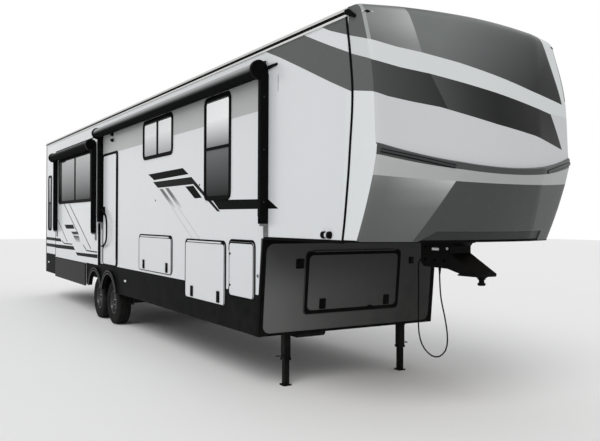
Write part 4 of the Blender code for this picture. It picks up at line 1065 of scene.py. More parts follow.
@dataclass
class Studio:
    """Camera, floor, lamps and a white surround."""

    eye: Point3 = (6.5461, -4.7232, 1.8389)
    yaw: float = 58.84
    pitch: float = -0.07
    roll: float = 0.28
    focal_px: float = 694.46
    width_px: float = 600.0

    def camera(self) -> None:
        """Place the camera of the photograph, worked out from the trailer's straight edges."""
        yaw, pitch, roll = (math.radians(v) for v in (self.yaw, self.pitch, self.roll))
        back = Vector((math.sin(yaw) * math.cos(pitch), -math.cos(yaw) * math.cos(pitch), math.sin(pitch)))
        right = (-back).cross(Vector((0, 0, 1))).normalized()
        up = right.cross(-back)
        across = right * math.cos(roll) + up * math.sin(roll)
        upward = up * math.cos(roll) - right * math.sin(roll)
        data = bpy.data.cameras.new("camera")
        data.sensor_width = 36.0
        data.lens = data.sensor_width * self.focal_px / self.width_px
        data.clip_end = 200.0
        obj = bpy.data.objects.new("camera", data)
        obj.matrix_world = Matrix.Translation(
            Vector(self.eye) + SHIFT
        ) @ Matrix((across, upward, back)).transposed().to_4x4()
        bpy.context.scene.collection.objects.link(obj)
        bpy.context.scene.camera = obj
        bpy.context.scene.view_settings.view_transform = "Standard"

    def surround(self) -> None:
        """White world for the camera and reflections, softer light for the rest."""
        world = bpy.data.worlds.new("studio")
        bpy.context.scene.world = world
        world.use_nodes = True
        web = Web(world.node_tree)
        shader = world.node_tree.nodes["Background"]
        path = web.add("ShaderNodeLightPath").outputs
        seen = web.math("MAXIMUM", path["Is Camera Ray"], path["Is Glossy Ray"])
        seen = web.math("MAXIMUM", seen, path["Is Transmission Ray"])
        shader.inputs["Color"].default_value = (1, 1, 1, 1)
        level = web.math("ADD", 0.62, web.math("MULTIPLY", seen, 0.38))
        world.node_tree.links.new(level, shader.inputs["Strength"])

    def floor(self) -> None:
        """Pale floor that keeps the trailer's shadow."""
        mesh = bpy.data.meshes.new("floor")
        reach = 60.0
        mesh.from_pydata(
            [(-reach, -reach, 0), (reach, -reach, 0), (reach, reach, 0), (-reach, reach, 0)], [],
            [(0, 1, 2, 3)]
        )
        made = bpy.data.materials.new("pale_floor")
        made.use_nodes = True
        shader = made.node_tree.nodes["Principled BSDF"]
        shader.inputs["Base Color"].default_value = (0.88, 0.88, 0.88, 1)
        shader.inputs["Roughness"].default_value = 0.9
        mesh.materials.append(made)
        obj = bpy.data.objects.new("floor", mesh)
        bpy.context.scene.collection.objects.link(obj)

    def lamps(self) -> None:
        """A wide soft sun from ahead of the door side."""
        data = bpy.data.lights.new("soft_sun", "SUN")
        data.energy = 1.25
        data.angle = math.radians(35)
        obj = bpy.data.objects.new("soft_sun", data)
        obj.rotation_euler = Vector((-0.55, 0.60, -0.85)).to_track_quat("-Z", "Y").to_euler()
        bpy.context.scene.collection.objects.link(obj)


@dataclass
class PowerCord:
    """Cord that hangs in one loop from the back of the pin box to its underside."""

    start: Point2 = (1.252, 1.470)
    route: tuple[Point2, ...] = (
        (1.246, 1.470), (1.225, 1.466), (1.206, 1.454), (1.194, 1.435), (1.190, 1.414), (1.190, 1.34),
        (1.194, 1.16), (1.193, 0.94), (1.200, 0.74), (1.255, 0.61), (1.370, 0.535), (1.490, 0.535),
        (1.590, 0.62), (1.610, 0.75), (1.575, 0.92), (1.520, 1.10), (1.500, 1.28), (1.500, 1.375),
    )
    y: float = -0.09
    radius: float = 0.007
    points: int = 38
    relief: float = 0.042

    def line(self, count: int) -> list[Vector]:
        """Points of the cord, from the rear gland round to the front one.

        Args:
            count: how many points lie after the first.

        Returns:
            The points.
        """
        route = [Vector((x, self.y, z)) for x, z in self.route]
        route[-1].z -= SEAT
        return [Vector((self.start[0] - SEAT, self.y, self.start[1]))] + smooth_line(route, count)

    def build(self) -> None:
        """Sweep the jacket along its route, and add a strain relief at each gland."""
        path = self.line(self.points)
        jacket = Shape().tube(path, self.radius, 14).piece(
            "power_cord", CORD_RUBBER, replaces=("pin_box_cord",)
        )
        fine = self.line(900)
        for name, run in (("rear", fine), ("front", fine[::-1])):
            self.sleeve(run).piece(f"cord_relief_{name}", CORD_RUBBER, smooth=50)

    def sleeve(self, run: Sequence[Vector]) -> Shape:
        """Ribbed sleeve that tapers from a gland onto the jacket.

        Args:
            run: fine points of the cord, starting at the gland.

        Returns:
            The sleeve.
        """
        points, radii, gone = [run[0]], [0.0125], 0.0
        for a, b in zip(run, run[1:]):
            gone += (b - a).length
            if gone > self.relief:
                break
            rib = 0.0009 if int(gone / 0.0036) % 2 == 0 else 0.0
            points.append(b)
            radii.append(0.0116 - (0.0116 - self.radius - 0.0006) * gone / self.relief + rib)
        return Shape().tube(points, 0.0, 20, radii)


@dataclass
class NoseShell:
    """Moulded nose: faceted face, a sharp belt with light bars, and a dark lower panel."""

    # tip, centre, side, bend_y, bend, middle and the steps up to the next row
    rows: tuple[tuple[float, ...], ...] = (
        (1.655, 1.655, 1.675, 0.75, 1.86, 1.93, 8),
        (2.230, 2.178, 1.910, 0.52, 2.19, 2.24, 3),
        (2.400, 2.258, 1.955, 0.50, 2.25, 2.30, 2),
        (2.480, 2.310, 1.965, 0.50, 2.25, 2.30, 2),
        (2.500, 2.322, 1.945, 0.50, 2.21, 2.26, 10),
        (3.100, 3.060, 1.895, 0.68, 2.03, 2.11, 9),
        (3.560, 3.580, 1.765, 0.80, 1.90, 1.98, 4),
        (3.680, 3.715, 1.715, 0.82, 1.83, 1.89, 3),
        (3.718, 3.752, 1.660, 0.82, 1.76, 1.81, 0),
    )
    corner: tuple[Point2, ...] = ((0.0, -0.035), (0.006, 0.0), (0.030, 0.025))
    shoulder: float = 0.12
    seam_line: tuple[Point2, ...] = (
        (1.480, 1.651), (1.515, 1.85), (1.548, 2.09), (1.573, 2.29), (1.597, 2.55), (1.619, 2.78),
        (1.624, 2.98), (1.612, 3.12), (1.596, 3.24), (1.568, 3.42), (1.540, 3.56), (1.520, 3.712),
    )
    thick: float = 0.030
    across: int = 21
    recess_depth: float = 0.012
    recess_sides: tuple[float, float, float] = (-0.70, -0.54, 0.93)
    recess_shares: tuple[float, ...] = (0.0, 0.060, 0.120, 0.181, 0.187, 0.30, 0.45, 0.60, 0.75, 0.88)

    def plan(self, row: Sequence[float]) -> list[Point2]:
        """Stations of one row, (y, x), from the door side to the off side.

        Args:
            row: numbers of the row.

        Returns:
            The stations, refined between the measured ones.
        """
        _, _, side, bend_y, bend, middle = row[:6]
        half = [(HALF_WIDTH - inward, side + ahead) for inward, ahead in self.corner]
        corner_y, corner_x = half[-1]
        slope = (bend - corner_x) / (corner_y - bend_y)
        half.append((corner_y - self.shoulder, corner_x + 1.1 * slope * self.shoulder))
        half.append((bend_y, bend))
        half.append((bend_y / 2, bend + 0.7 * (middle - bend)))
        half.append((0.0, middle))
        corner = [Vector(p) for p in half[:2]]
        bend_points = smooth_line(half[1:5], self.across)
        front = smooth_line([half[4], half[5], half[6], (-half[5][0], half[5][1])], 13)
        front = [p for p in front if p.x >= -1e-6]
        front[-1] = Vector((0.0, middle))
        line = corner + bend_points[1:] + front[1:]
        left = [(-p.x, p.y) for p in line]
        return left + [(p.x, p.y) for p in reversed(line[:-1])]

    def between(self, k: int, t: float) -> list[float]:
        """Row numbers a share of the way from row k to the next.

        Args:
            k: row index.
            t: share from 0 to 1.

        Returns:
            The numbers, curved where the face is one smooth surface.
        """
        a, b = self.rows[k], self.rows[k + 1]
        if k < 4:
            bulge = 0.012 * math.sin(math.pi * t) if k == 0 else 0.0
            mixed = [p + (q - p) * t for p, q in zip(a, b)]
            return mixed[:2] + [mixed[2] + bulge, mixed[3], mixed[4] + bulge, mixed[5] + bulge]
        before = self.rows[max(k - 1, 4)]
        after = self.rows[min(k + 2, len(self.rows) - 1)]
        values = []
        for p0, p1, p2, p3 in zip(before[:6], a[:6], b[:6], after[:6]):
            if k == 4:
                p0 = 2 * p1 - p2
            values.append(catmull(p0, p1, p2, p3, t))
        return values

    def skin(self) -> tuple[list[list[Vector]], list[int]]:
        """Points of the outer face and the finish of each strip."""
        rows, finishes = [], []
        for k, row in enumerate(self.rows[:-1]):
            steps = int(row[6])
            shares = self.recess_shares if k == 0 else [i / steps for i in range(steps)]
            for share in shares:
                rows.append(self.between(k, share))
                finishes.append({0: 3, 1: 2, 2: 1, 3: 1}.get(k, 0))
        rows.append(list(self.rows[-1][:6]))
        points = []
        for number, row in enumerate(rows):
            tip, centre = row[:2]
            plan = self.recessed(self.plan(row), number)
            line = [(y, x, tip + (centre - tip) * (1 - (y / HALF_WIDTH) ** 2)) for y, x in plan]
            z = line[0][2]
            start = Vector((seam_x(z), -HALF_WIDTH, z))
            points.append(
                [start] + [Vector((x, y, h)) for y, x, h in line] + [Vector((start.x, HALF_WIDTH, z))]
            )
        top = self.rows[-1][0]
        back = [Vector((SEAM_TOP_X, p.y, top + crown(p.y))) for p in points[-1]]
        points.append(back)
        finishes.append(0)
        return points, finishes

    def recess_columns(self) -> tuple[int, int]:
        """Stations just inside the recess on the door side and the off side."""
        ys = [y for y, _ in self.plan(self.rows[0])]
        off = min(range(len(ys)), key=lambda i: abs(ys[i] - self.recess_sides[2]))
        return self.across + 2, off

    def recessed(self, plan: list[Point2], number: int) -> list[Point2]:
        """Stations of a row, with the shallow recess at the foot of the nose pressed in.

        Args:
            plan: stations of the row.
            number: its number from the foot.

        Returns:
            The stations, moved where the recess has its edges and its floor.
        """
        top_row = self.recess_shares.index(0.181)
        if number > top_row + 1:
            return plan
        base, top, off_y = self.recess_sides
        first, last = self.recess_columns()
        share = min(1.0, self.recess_shares[number] / 0.181)
        edge = base + (top - base) * share

        def x_at(y: float) -> float:
            for (ya, xa), (yb, xb) in zip(plan, plan[1:]):
                if ya <= y <= yb:
                    return xa + (xb - xa) * (y - ya) / (yb - ya)
            return plan[-1][1]

        moved = list(plan)
        for column, y in (
            (first - 1, edge - 0.003), (first, edge + 0.003), (last, off_y - 0.003), (last + 1, off_y + 0.003)
        ):
            moved[column] = (y, x_at(y))
        if number <= top_row:
            for column in range(first, last + 1):
                y, x = moved[column]
                moved[column] = (y, x - self.recess_depth)
        return moved

    def build(self) -> None:
        """Skin the shell, line it, and set the belt's light bars."""
        points, finishes = self.skin()
        shape = Shape()
        bm = shape.bm
        outer = [[bm.verts.new(p) for p in row] for row in points]
        scale = (HALF_WIDTH - self.thick) / HALF_WIDTH
        last = len(points) - 1
        inner = []
        for i, row in enumerate(points):
            drop = self.thick if i >= last - 1 else 0.0
            ahead = self.thick if i < last else 0.0
            inner.append(
                [
                    bm.verts.new(
                        (
                            max(p.x - ahead, seam_x(p.z) - 0.001) if j not in (0, len(row) - 1) else p.x,
                            p.y * scale, p.z - drop
                        )
                    )
                    for j, p in enumerate(row)
                ]
            )
        count = len(outer[0])
        first, off_end = self.recess_columns()
        for i in range(last):
            for j in range(count - 1):
                face = bm.faces.new((outer[i][j], outer[i][j + 1], outer[i + 1][j + 1], outer[i + 1][j]))
                on_side = j < 2 or j > count - 4
                sunk = i <= 3 and first <= j <= off_end + 1
                # Faces in the recess take its darker painted shade.
                face.material_index = 0 if on_side else 4 if sunk else finishes[i]
                bm.faces.new((inner[i][j], inner[i + 1][j], inner[i + 1][j + 1], inner[i][j + 1]))
            for j in (0, count - 1):
                bm.faces.new((outer[i][j], outer[i + 1][j], inner[i + 1][j], inner[i][j]))
        for i in (0, last):
            for j in range(count - 1):
                bm.faces.new((outer[i][j], outer[i][j + 1], inner[i][j + 1], inner[i][j]))
        shape.piece(
            "nose_shell", NOSE, replaces=("nose_cap",), smooth=16,
            more=(BELT, BELT_UNDER, NOSE_LOWER, NOSE_RECESS_SHADE)
        )
        slot = []
        for i in range(9):
            y = -0.447 + 0.589 * i / 8
            slot.append(Vector((1.888 + 0.046 * (1 - abs(y) / 0.72) + 0.0035 - self.recess_depth, y, 1.70)))
        Shape().sweep(
            slot, rect(-0.007, 0.007, -0.004, 0.003), Vector((1, 0, 0))
        ).piece("nose_recess_slot", TRIM)
        self.seam()
        self.light_bars()
        self.fittings()

    def seam(self) -> None:
        """Black trim over the joint between the nose and the body, and along its foot."""
        for side in Side:
            line = smooth_line([(x, side.value * HALF_WIDTH, z) for x, z in self.seam_line], 30)
            section = [
                (-0.015, -0.002), (0.015, -0.002), (0.015, 0.004), (0.009, 0.007), (-0.009, 0.007),
                (-0.015, 0.004)
            ]
            Shape().sweep(
                line, section, Vector((0, side.value, 0))
            ).piece(f"nose_seam_trim_{side.label}", TRIM)
        Shape().sweep(
            over_roof(SEAM_TOP_X, 12, 1.0, 0.018), rect(-0.012, 0.012, -0.004, 0.003), Vector((0, 0, 1))
        ).piece("nose_roof_trim", TRIM)
        foot = [Vector((x, y, OVERHANG_Z + 0.010)) for y, x in self.plan(self.rows[0])]
        foot = [
            Vector((seam_x(OVERHANG_Z), -HALF_WIDTH, OVERHANG_Z + 0.010))
        ] + foot + [Vector((seam_x(OVERHANG_Z), HALF_WIDTH, OVERHANG_Z + 0.010))]
        Shape().sweep(
            foot, rect(-0.004, 0.004, -0.010, 0.010), Vector((0, 0, 1))
        ).piece("nose_foot_trim", TRIM)

    def light_bars(self) -> None:
        """Slim lamps let into the belt, one each side."""
        line = [
            Vector((1.984, -1.191, 2.431)), Vector((2.110, -0.875, 2.368)), Vector((2.220, -0.580, 2.306))
        ]
        for side in Side:
            path = [Vector((p.x + 0.004, -p.y * side.value, p.z)) for p in smooth_line(line, 9)]
            out = Vector((0.88, 0.42 * side.value, 0.05))
            frame_section = rect(-0.017, 0.017, -0.012, 0.004)
            lens_section = rect(-0.010, 0.010, -0.004, 0.006)
            Shape().sweep(path, frame_section, out).piece(
                f"light_bar_bezel_{side.label}", GLOSS_BLACK, bevel=0.002
            )
            Shape().sweep(path, lens_section, out).piece(f"light_bar_lens_{side.label}", SMOKED, bevel=0.002)

    def fittings(self) -> None:
        """Small marker lamp high on each side of the face."""
        for side in Side:
            centre = Vector((1.766, side.value * 1.172, 3.633))
            out = Vector((0.85, side.value * 0.25, 0.45)).normalized()
            plane = Matrix.Translation(centre) @ out.to_track_quat("Z", "Y").to_matrix().to_4x4()
            diamond = [(-0.030, 0.0), (0.0, -0.016), (0.030, 0.0), (0.0, 0.016)]
            Shape().slab(diamond, -0.01, 0.010, plane).piece(
                f"nose_marker_{side.label}", GLOSS_BLACK, bevel=0.002
            )
            pins = Shape()
            for shift in (-0.042, 0.042):
                pins.slab(circle(0.007, 12, shift), -0.01, 0.008, plane)
            pins.piece(f"nose_marker_pins_{side.label}", CLEAR_LENS)


@dataclass
class BodyShell:
    """Sides, rear, roof edges and the trims that cover their joints."""

    rail_low: float = 3.658
    rail_high: float = 3.690

    def build(self) -> None:
        """Dress the body's own nodes and add its trims, band, lamps and graphics."""
        dress(WALL, "side_wall_right", "side_wall_left", "rear_wall")
        dress(SKIRT, "skirt_right", "skirt_left")
        dress(MEMBRANE, "roof")
        dress(BOARD, "main_floor", "upper_floor", "storage_floor")
        for side in Side:
            self.edges(side)
            self.lamps(side)
        self.band()
        self.graphics()

    def edges(self, side: Side) -> None:
        """Roof rail, corner mouldings and overhang trim of one side.

        Args:
            side: which side.
        """
        name = side.label
        face = HALF_WIDTH
        end = seam_x(self.rail_high) - 0.012
        rail = rect(REAR_X - 0.006, end, self.rail_low, self.rail_high)
        Shape().slab(
            rail, face - 0.002, face + 0.0135, side.plane
        ).piece(f"roof_rail_{name}", TRIM, bevel=0.003)
        spout = [
            (end - 0.03, 3.700), (end + 0.02, 3.700), (1.676, 3.622), (1.668, 3.602), (1.640, 3.606),
            (end - 0.03, 3.662)
        ]
        Shape().slab(
            spout, face + 0.0005, face + 0.020, side.plane
        ).piece(f"drip_spout_{name}", TRIM, bevel=0.004)
        lip = rect(REAR_X - 0.006, end, self.rail_high + 0.0005, self.rail_high + 0.026)
        Shape().slab(lip, face - 0.030, face + 0.0125, side.plane).piece(
            f"roof_edge_{name}", ROOF_PLASTIC, bevel=0.004
        )
        corner = Shape()
        corner.slab(
            rect(REAR_X - 0.004, REAR_X + 0.034, SKIRT_BASE_Z, self.rail_low), face - 0.001, face + 0.004,
            side.plane
        )
        corner.slab(
            rect(REAR_X - 0.004, REAR_X - 0.0002, SKIRT_BASE_Z, self.rail_low), face - 0.038, face + 0.004,
            side.plane
        )
        corner.piece(f"rear_corner_trim_{name}", TRIM)
        low = [(front_x(SKIRT_BASE_Z), SKIRT_BASE_Z), (front_x(OVERHANG_Z), OVERHANG_Z)]
        front = [
            (low[0][0] - 0.066, low[0][1]), (low[0][0] + 0.009, low[0][1]), (low[1][0] + 0.009, low[1][1]),
            (low[1][0] - 0.012, low[1][1])
        ]
        Shape().slab(front, face - 0.001, face + 0.006, side.plane).piece(
            f"front_corner_trim_{name}", TRIM, bevel=0.003
        )
        under = rect(0.0, seam_x(OVERHANG_Z), OVERHANG_Z - 0.012, OVERHANG_Z + 0.018)
        Shape().slab(
            under, face - 0.030, face + 0.005, side.plane
        ).piece(f"overhang_trim_{name}", TRIM, bevel=0.003)

    def lamps(self, side: Side) -> None:
        """Marker lamps of one side, and the lamp at the edge of the overhang.

        Args:
            side: which side.
        """
        face = HALF_WIDTH
        name = side.label
        base, lens = Shape(), Shape()
        for x, z, reach, height in ((-4.85, 0.83, 0.055, 0.022), (-10.95, 0.83, 0.055, 0.022)):
            base.slab(
                rounded(x - reach, x + reach, z - height, z + height, height * 0.98), face, face + 0.006,
                side.plane
            )
            steps = ((face + 0.006, 0.86), (face + 0.014, 0.80), (face + 0.018, 0.60))
            lens.taper(domed((x, z), (reach, height, height * 0.98), steps), side.plane)
        base.piece(f"skirt_lamp_base_{name}", GLOSS_BLACK, bevel=0.001)
        lens.piece(f"skirt_lamp_lens_{name}", CLEAR_LENS, smooth=50)
        dots = Shape()
        for x, z, radius in ((-2.56, 0.94, 0.016), (-3.40, 2.14, 0.012), (-1.74, 2.30, 0.012)):
            dots.slab(circle(radius, 20, x, z), face, face + 0.006, side.plane)
        dots.piece(f"wall_fittings_{name}", TRIM, bevel=0.002)
        lobes = Shape()
        for x in (1.185, 1.281):
            steps = ((face, 1.0), (face + 0.020, 0.96), (face + 0.030, 0.70))
            lobes.taper(domed((x, 1.715), (0.036, 0.034, 0.030), steps), side.plane)
        lobes.piece(f"overhang_lamp_housing_{name}", GLOSS_BLACK, smooth=50)
        steps = ((face, 1.0), (face + 0.018, 0.96), (face + 0.026, 0.70))
        middle = Shape().taper(domed((1.233, 1.715), (0.018, 0.024, 0.014), steps), side.plane)
        middle.piece(f"overhang_lamp_lens_{name}", CLEAR_LENS, smooth=50)

    def band(self) -> None:
        """Light grey band under the main awning, and the lamps by the entry door."""
        plane = Side.DOOR.plane
        Shape().slab(
            rect(-6.24, 0.05, 3.03, 3.42), HALF_WIDTH, HALF_WIDTH + 0.0006, plane
        ).piece("wall_band", BAND)
        lamps = Shape()
        for z in (3.35, 3.25):
            lamps.taper(
                [
                    (HALF_WIDTH, rounded(-5.66, -5.58, z - 0.03, z + 0.03, 0.012)),
                    (HALF_WIDTH + 0.030, rounded(-5.655, -5.585, z - 0.026, z + 0.026, 0.012)),
                    (HALF_WIDTH + 0.045, rounded(-5.645, -5.595, z - 0.010, z + 0.020, 0.009))
                ],
                plane
            )
        lamps.piece("entry_lamps", GLOSS_BLACK, smooth=50)

    def graphics(self) -> None:
        """Plain stripes laid on the walls."""
        black = (
            [(-3.731, 2.543), (-2.321, 2.553), (-2.115, 2.459), (-3.47, 2.443)],
            [(-1.335, 2.097), (0.096, 2.073), (0.323, 1.969), (-1.136, 1.977)],
            [(-2.228, 2.298), (-1.948, 2.299), (-1.662, 2.134), (-1.895, 2.130)],
        )
        dark = (
            [
                (-3.512, 2.416), (-2.015, 2.416), (-1.108, 1.954), (-1.191, 1.954), (-1.949, 2.319),
                (-3.301, 2.322)
            ],
        )
        rear = (rect(-11.27, -10.10, 1.358, 1.428), rect(-11.27, -10.10, 1.204, 1.279))
        greys = (
            [
                (-0.03, 3.665), (0.34, 3.519), (0.738, 3.347), (1.269, 3.113), (1.622, 2.966), (1.588, 3.311),
                (1.266, 3.443), (1.063, 3.53), (0.755, 3.665)
            ],
            [(1.08, 3.665), (1.265, 3.579), (1.560, 3.473), (1.527, 3.665)],
        )
        fading = (
            [(-3.232, 2.301), (-3.098, 2.300), (-2.562, 2.02), (-2.70, 2.02)],
            [(-2.993, 2.305), (-2.864, 2.304), (-2.325, 2.017), (-2.46, 2.017)],
        )
        thin = (
            [(-2.72, 2.02), (-1.947, 1.588), (-1.930, 1.588), (-2.703, 2.02)],
            [(-2.48, 2.02), (-1.715, 1.594), (-1.698, 1.594), (-2.463, 2.02)]
        )
        sets = {
            "black": (black, STRIPE), "charcoal": (dark, STRIPE_DARK), "rear_bars": (rear, STRIPE_DARK),
            "nose_grey": (greys, SIDE_GREY), "fading": (fading, FADING), "lines": (thin, LINE)
        }
        for side in Side:
            for name, (outlines, finish) in sets.items():
                if side is Side.OFF:
                    outlines = clear_of_bedroom(outlines)
                if not outlines:
                    continue
                shape = Shape()
                for outline in outlines:
                    shape.slab(outline, HALF_WIDTH, HALF_WIDTH + STRIPE_RISE, side.plane)
                shape.piece(f"stripes_{name}_{side.label}", finish)


def clear_of_bedroom(outlines: Sequence[Sequence[Point2]]) -> list[list[Point2]]:
    """Stripes of the off side, without those that cross the bedroom room's opening.

    Args:
        outlines: corners (x, z) of each stripe.

    Returns:
        The stripes ahead of the opening, cut off at it, and those behind it.
    """
    kept = []
    for outline in outlines:
        xs = [x for x, _ in outline]
        if max(xs) < BEDROOM_REAR_X:
            kept.append(list(outline))
        elif max(xs) > BEDROOM_FRONT_X:
            kept.append([(max(x, BEDROOM_FRONT_X), z) for x, z in outline])
    return kept


@dataclass
class SlideRoom:
    """Looks of one slide room: its face, seals, dark foot and stripes."""

    node: str
    side: Side
    x0: float
    x1: float
    low_z: float
    top_z: float
    foot: bool = False
    foot_x1: float = -7.40

    def build(self) -> None:
        """Dress the room and add what its face carries."""
        dress(WALL, self.node)
        plane, name, face = self.side.plane, self.node, FASCIA_FACE
        seal = Shape()
        for x0, x1 in ((self.x0, self.x0 + 0.022), (self.x1 - 0.040, self.x1)):
            seal.slab(rect(x0, x1, self.low_z, self.top_z), face - 0.012, face + 0.003, plane)
        seal.slab(rect(self.x0, self.x1, self.top_z - 0.022, self.top_z), face - 0.012, face + 0.0025, plane)
        ends = sorted((self.side.value * (HALF_WIDTH + 0.001), self.side.value * (face + 0.003)))
        seal.box((self.x1 - 0.0005, self.x1 + 0.0015), ends, (self.low_z, self.top_z))
        seal.piece(f"{name}_seal", RUBBER_SEAL, body=name)
        if self.foot:
            self.dark_foot()
        if self.side is Side.DOOR:
            self.stripes()

    def dark_foot(self) -> None:
        """Skirt panel on the part of the face that hangs below the floor."""
        outline = rect(self.x0 + 0.001, self.foot_x1 - 0.001, 0.552, 0.985)
        Shape().slab(
            outline, FASCIA_FACE - 0.001, FASCIA_FACE + 0.003, self.side.plane
        ).piece(f"{self.node}_skirt", SLIDE_SKIRT, body=self.node, bevel=0.002)
        ends = sorted((self.side.value * (HALF_WIDTH + 0.006), self.side.value * (FASCIA_FACE + 0.003)))
        Shape().box(
            (self.foot_x1 - 0.0005, self.foot_x1 + 0.0015), ends, (0.552, 0.985)
        ).piece(f"{self.node}_skirt_end", SLIDE_SKIRT, body=self.node)
        edge = rect(self.x0 + 0.001, self.foot_x1 - 0.001, 0.985, 0.999)
        Shape().slab(
            edge, FASCIA_FACE - 0.001, FASCIA_FACE + 0.005, self.side.plane
        ).piece(f"{self.node}_skirt_edge", TRIM, body=self.node, bevel=0.002)

    def stripes(self) -> None:
        """Bars and fine lines on the face."""
        sets = {
            "bars": (
                (
                    [(-10.066, 1.358), (-9.460, 1.360), (-9.581, 1.428), (-10.066, 1.428)],
                    [(-10.066, 1.202), (-8.210, 1.218), (-8.36, 1.294), (-10.066, 1.284)],
                    [(-8.158, 1.176), (-8.01, 1.117), (-6.471, 1.132), (-6.473, 1.202)],
                    [(-9.191, 1.74), (-8.997, 1.654), (-8.268, 1.662), (-8.396, 1.745)],
                ),
                STRIPE,
            ),
            "fading": (
                (
                    [(-8.572, 1.598), (-8.391, 1.54), (-7.923, 1.549), (-8.069, 1.605)],
                    [(-8.39, 1.52), (-8.10, 1.39), (-7.75, 1.39), (-7.91, 1.52)]
                ),
                SLIDE_FADING
            ),
        }
        for name, (outlines, finish) in sets.items():
            shape = Shape()
            for outline in outlines:
                shape.slab(outline, FASCIA_FACE, FASCIA_FACE + STRIPE_RISE, self.side.plane)
            shape.piece(f"{self.node}_{name}", finish, body=self.node)
        lines = Shape()
        routes = (
            [(-9.23, 2.194), (-7.923, 1.549)], [
                (-8.741, 2.185), (-6.948, 1.291)
            ], [(-9.917, 1.879), (-8.909, 1.369)],
            [
                (-9.408, 1.381), (-9.21, 1.329), (-8.463, 1.333)
            ], [(-7.544, 1.35), (-7.272, 1.246), (-6.493, 1.244)],
        )
        for route in routes:
            path = [Vector((x, -FASCIA_FACE, z)) for x, z in route]
            lines.sweep(path, rect(-0.012, 0.012, 0.0, STRIPE_RISE), Vector((0, -1, 0)))
        lines.piece(f"{self.node}_lines", SLIDE_LINE, body=self.node)


@dataclass
class SideWindow:
    """Window with a black radiused frame, a bar and two tinted panes coloured with a painted sky reflection.
    """

    node: str
    side: Side
    x0: float
    x1: float
    z0: float
    z1: float
    upright: bool
    body: str = "trailer"
    # top, foot, second_top and second_foot: colours of the painted reflection on each pane, pale at its head
    # and darker at its foot
    top: Colour = srgb(232, 235, 237)
    foot: Colour = srgb(150, 152, 152)
    second_top: Optional[Colour] = None
    second_foot: Optional[Colour] = None
    split: float = 0.5
    bar: float = 0.036
    hold: float = 0.95

    @property
    def face(self) -> float:
        """Distance of the wall behind the window from the centreline."""
        return FASCIA_FACE if self.body != "trailer" else HALF_WIDTH

    def build(self) -> None:
        """Frame, bar, gaskets and panes."""
        lap, bar, face, plane = 0.011, self.bar, self.face, self.side.plane
        edges = (self.x0, self.x1, self.z0, self.z1)
        outer, inner = inset(edges, -lap, 0.095), inset(edges, bar, 0.060)
        shape = Shape().ring(outer, inner, face - 0.004, face + 0.014, plane, edge=0.004)
        seat, gasket = inset(edges, bar - 0.002, 0.060), inset(edges, bar + 0.008, 0.052)
        shape.ring(seat, gasket, face - 0.004, face + 0.007, plane, edge=0.002)
        if self.upright:
            middle = self.x0 + (self.x1 - self.x0) * self.split
            cross = rect(middle - bar / 2, middle + bar / 2, self.z0 + bar - 0.004, self.z1 - bar + 0.004)
            lights = [(self.x0, middle, self.z0, self.z1), (middle, self.x1, self.z0, self.z1)]
        else:
            middle = self.z0 + (self.z1 - self.z0) * self.split
            cross = rect(self.x0 + bar - 0.004, self.x1 - bar + 0.004, middle - bar / 2, middle + bar / 2)
            lights = [(self.x0, self.x1, middle, self.z1), (self.x0, self.x1, self.z0, middle)]
        shape.slab(cross, face - 0.003, face + 0.012, plane)
        shape.piece(f"{self.node}_frame", TRIM, body=self.body, replaces=(self.node,), smooth=40)
        for number, light in enumerate(lights):
            top, foot, hold = self.top, self.foot, self.hold
            if number and self.second_top:
                top, foot, hold = self.second_top, self.second_foot, 0.95
            finish = SkyReflectionGlass(
                f"{self.node}_glass_{number}", top, 0.04, metallic=0.9 if top[0] > 0.5 else 0.0, shine=0.02,
                edge=0.45, relief=0.00002, dust=0.01, unevenness=0.02, foot=foot, z0=light[2], z1=light[3],
                hold=hold
            )
            set_back = 0.0035 if number == 0 else 0.0020
            pane = Shape().slab(inset(light, 0.016, 0.02), face - 0.006, face + set_back, plane)
            pane.piece(f"{self.node}_pane_{number}", finish, body=self.body)


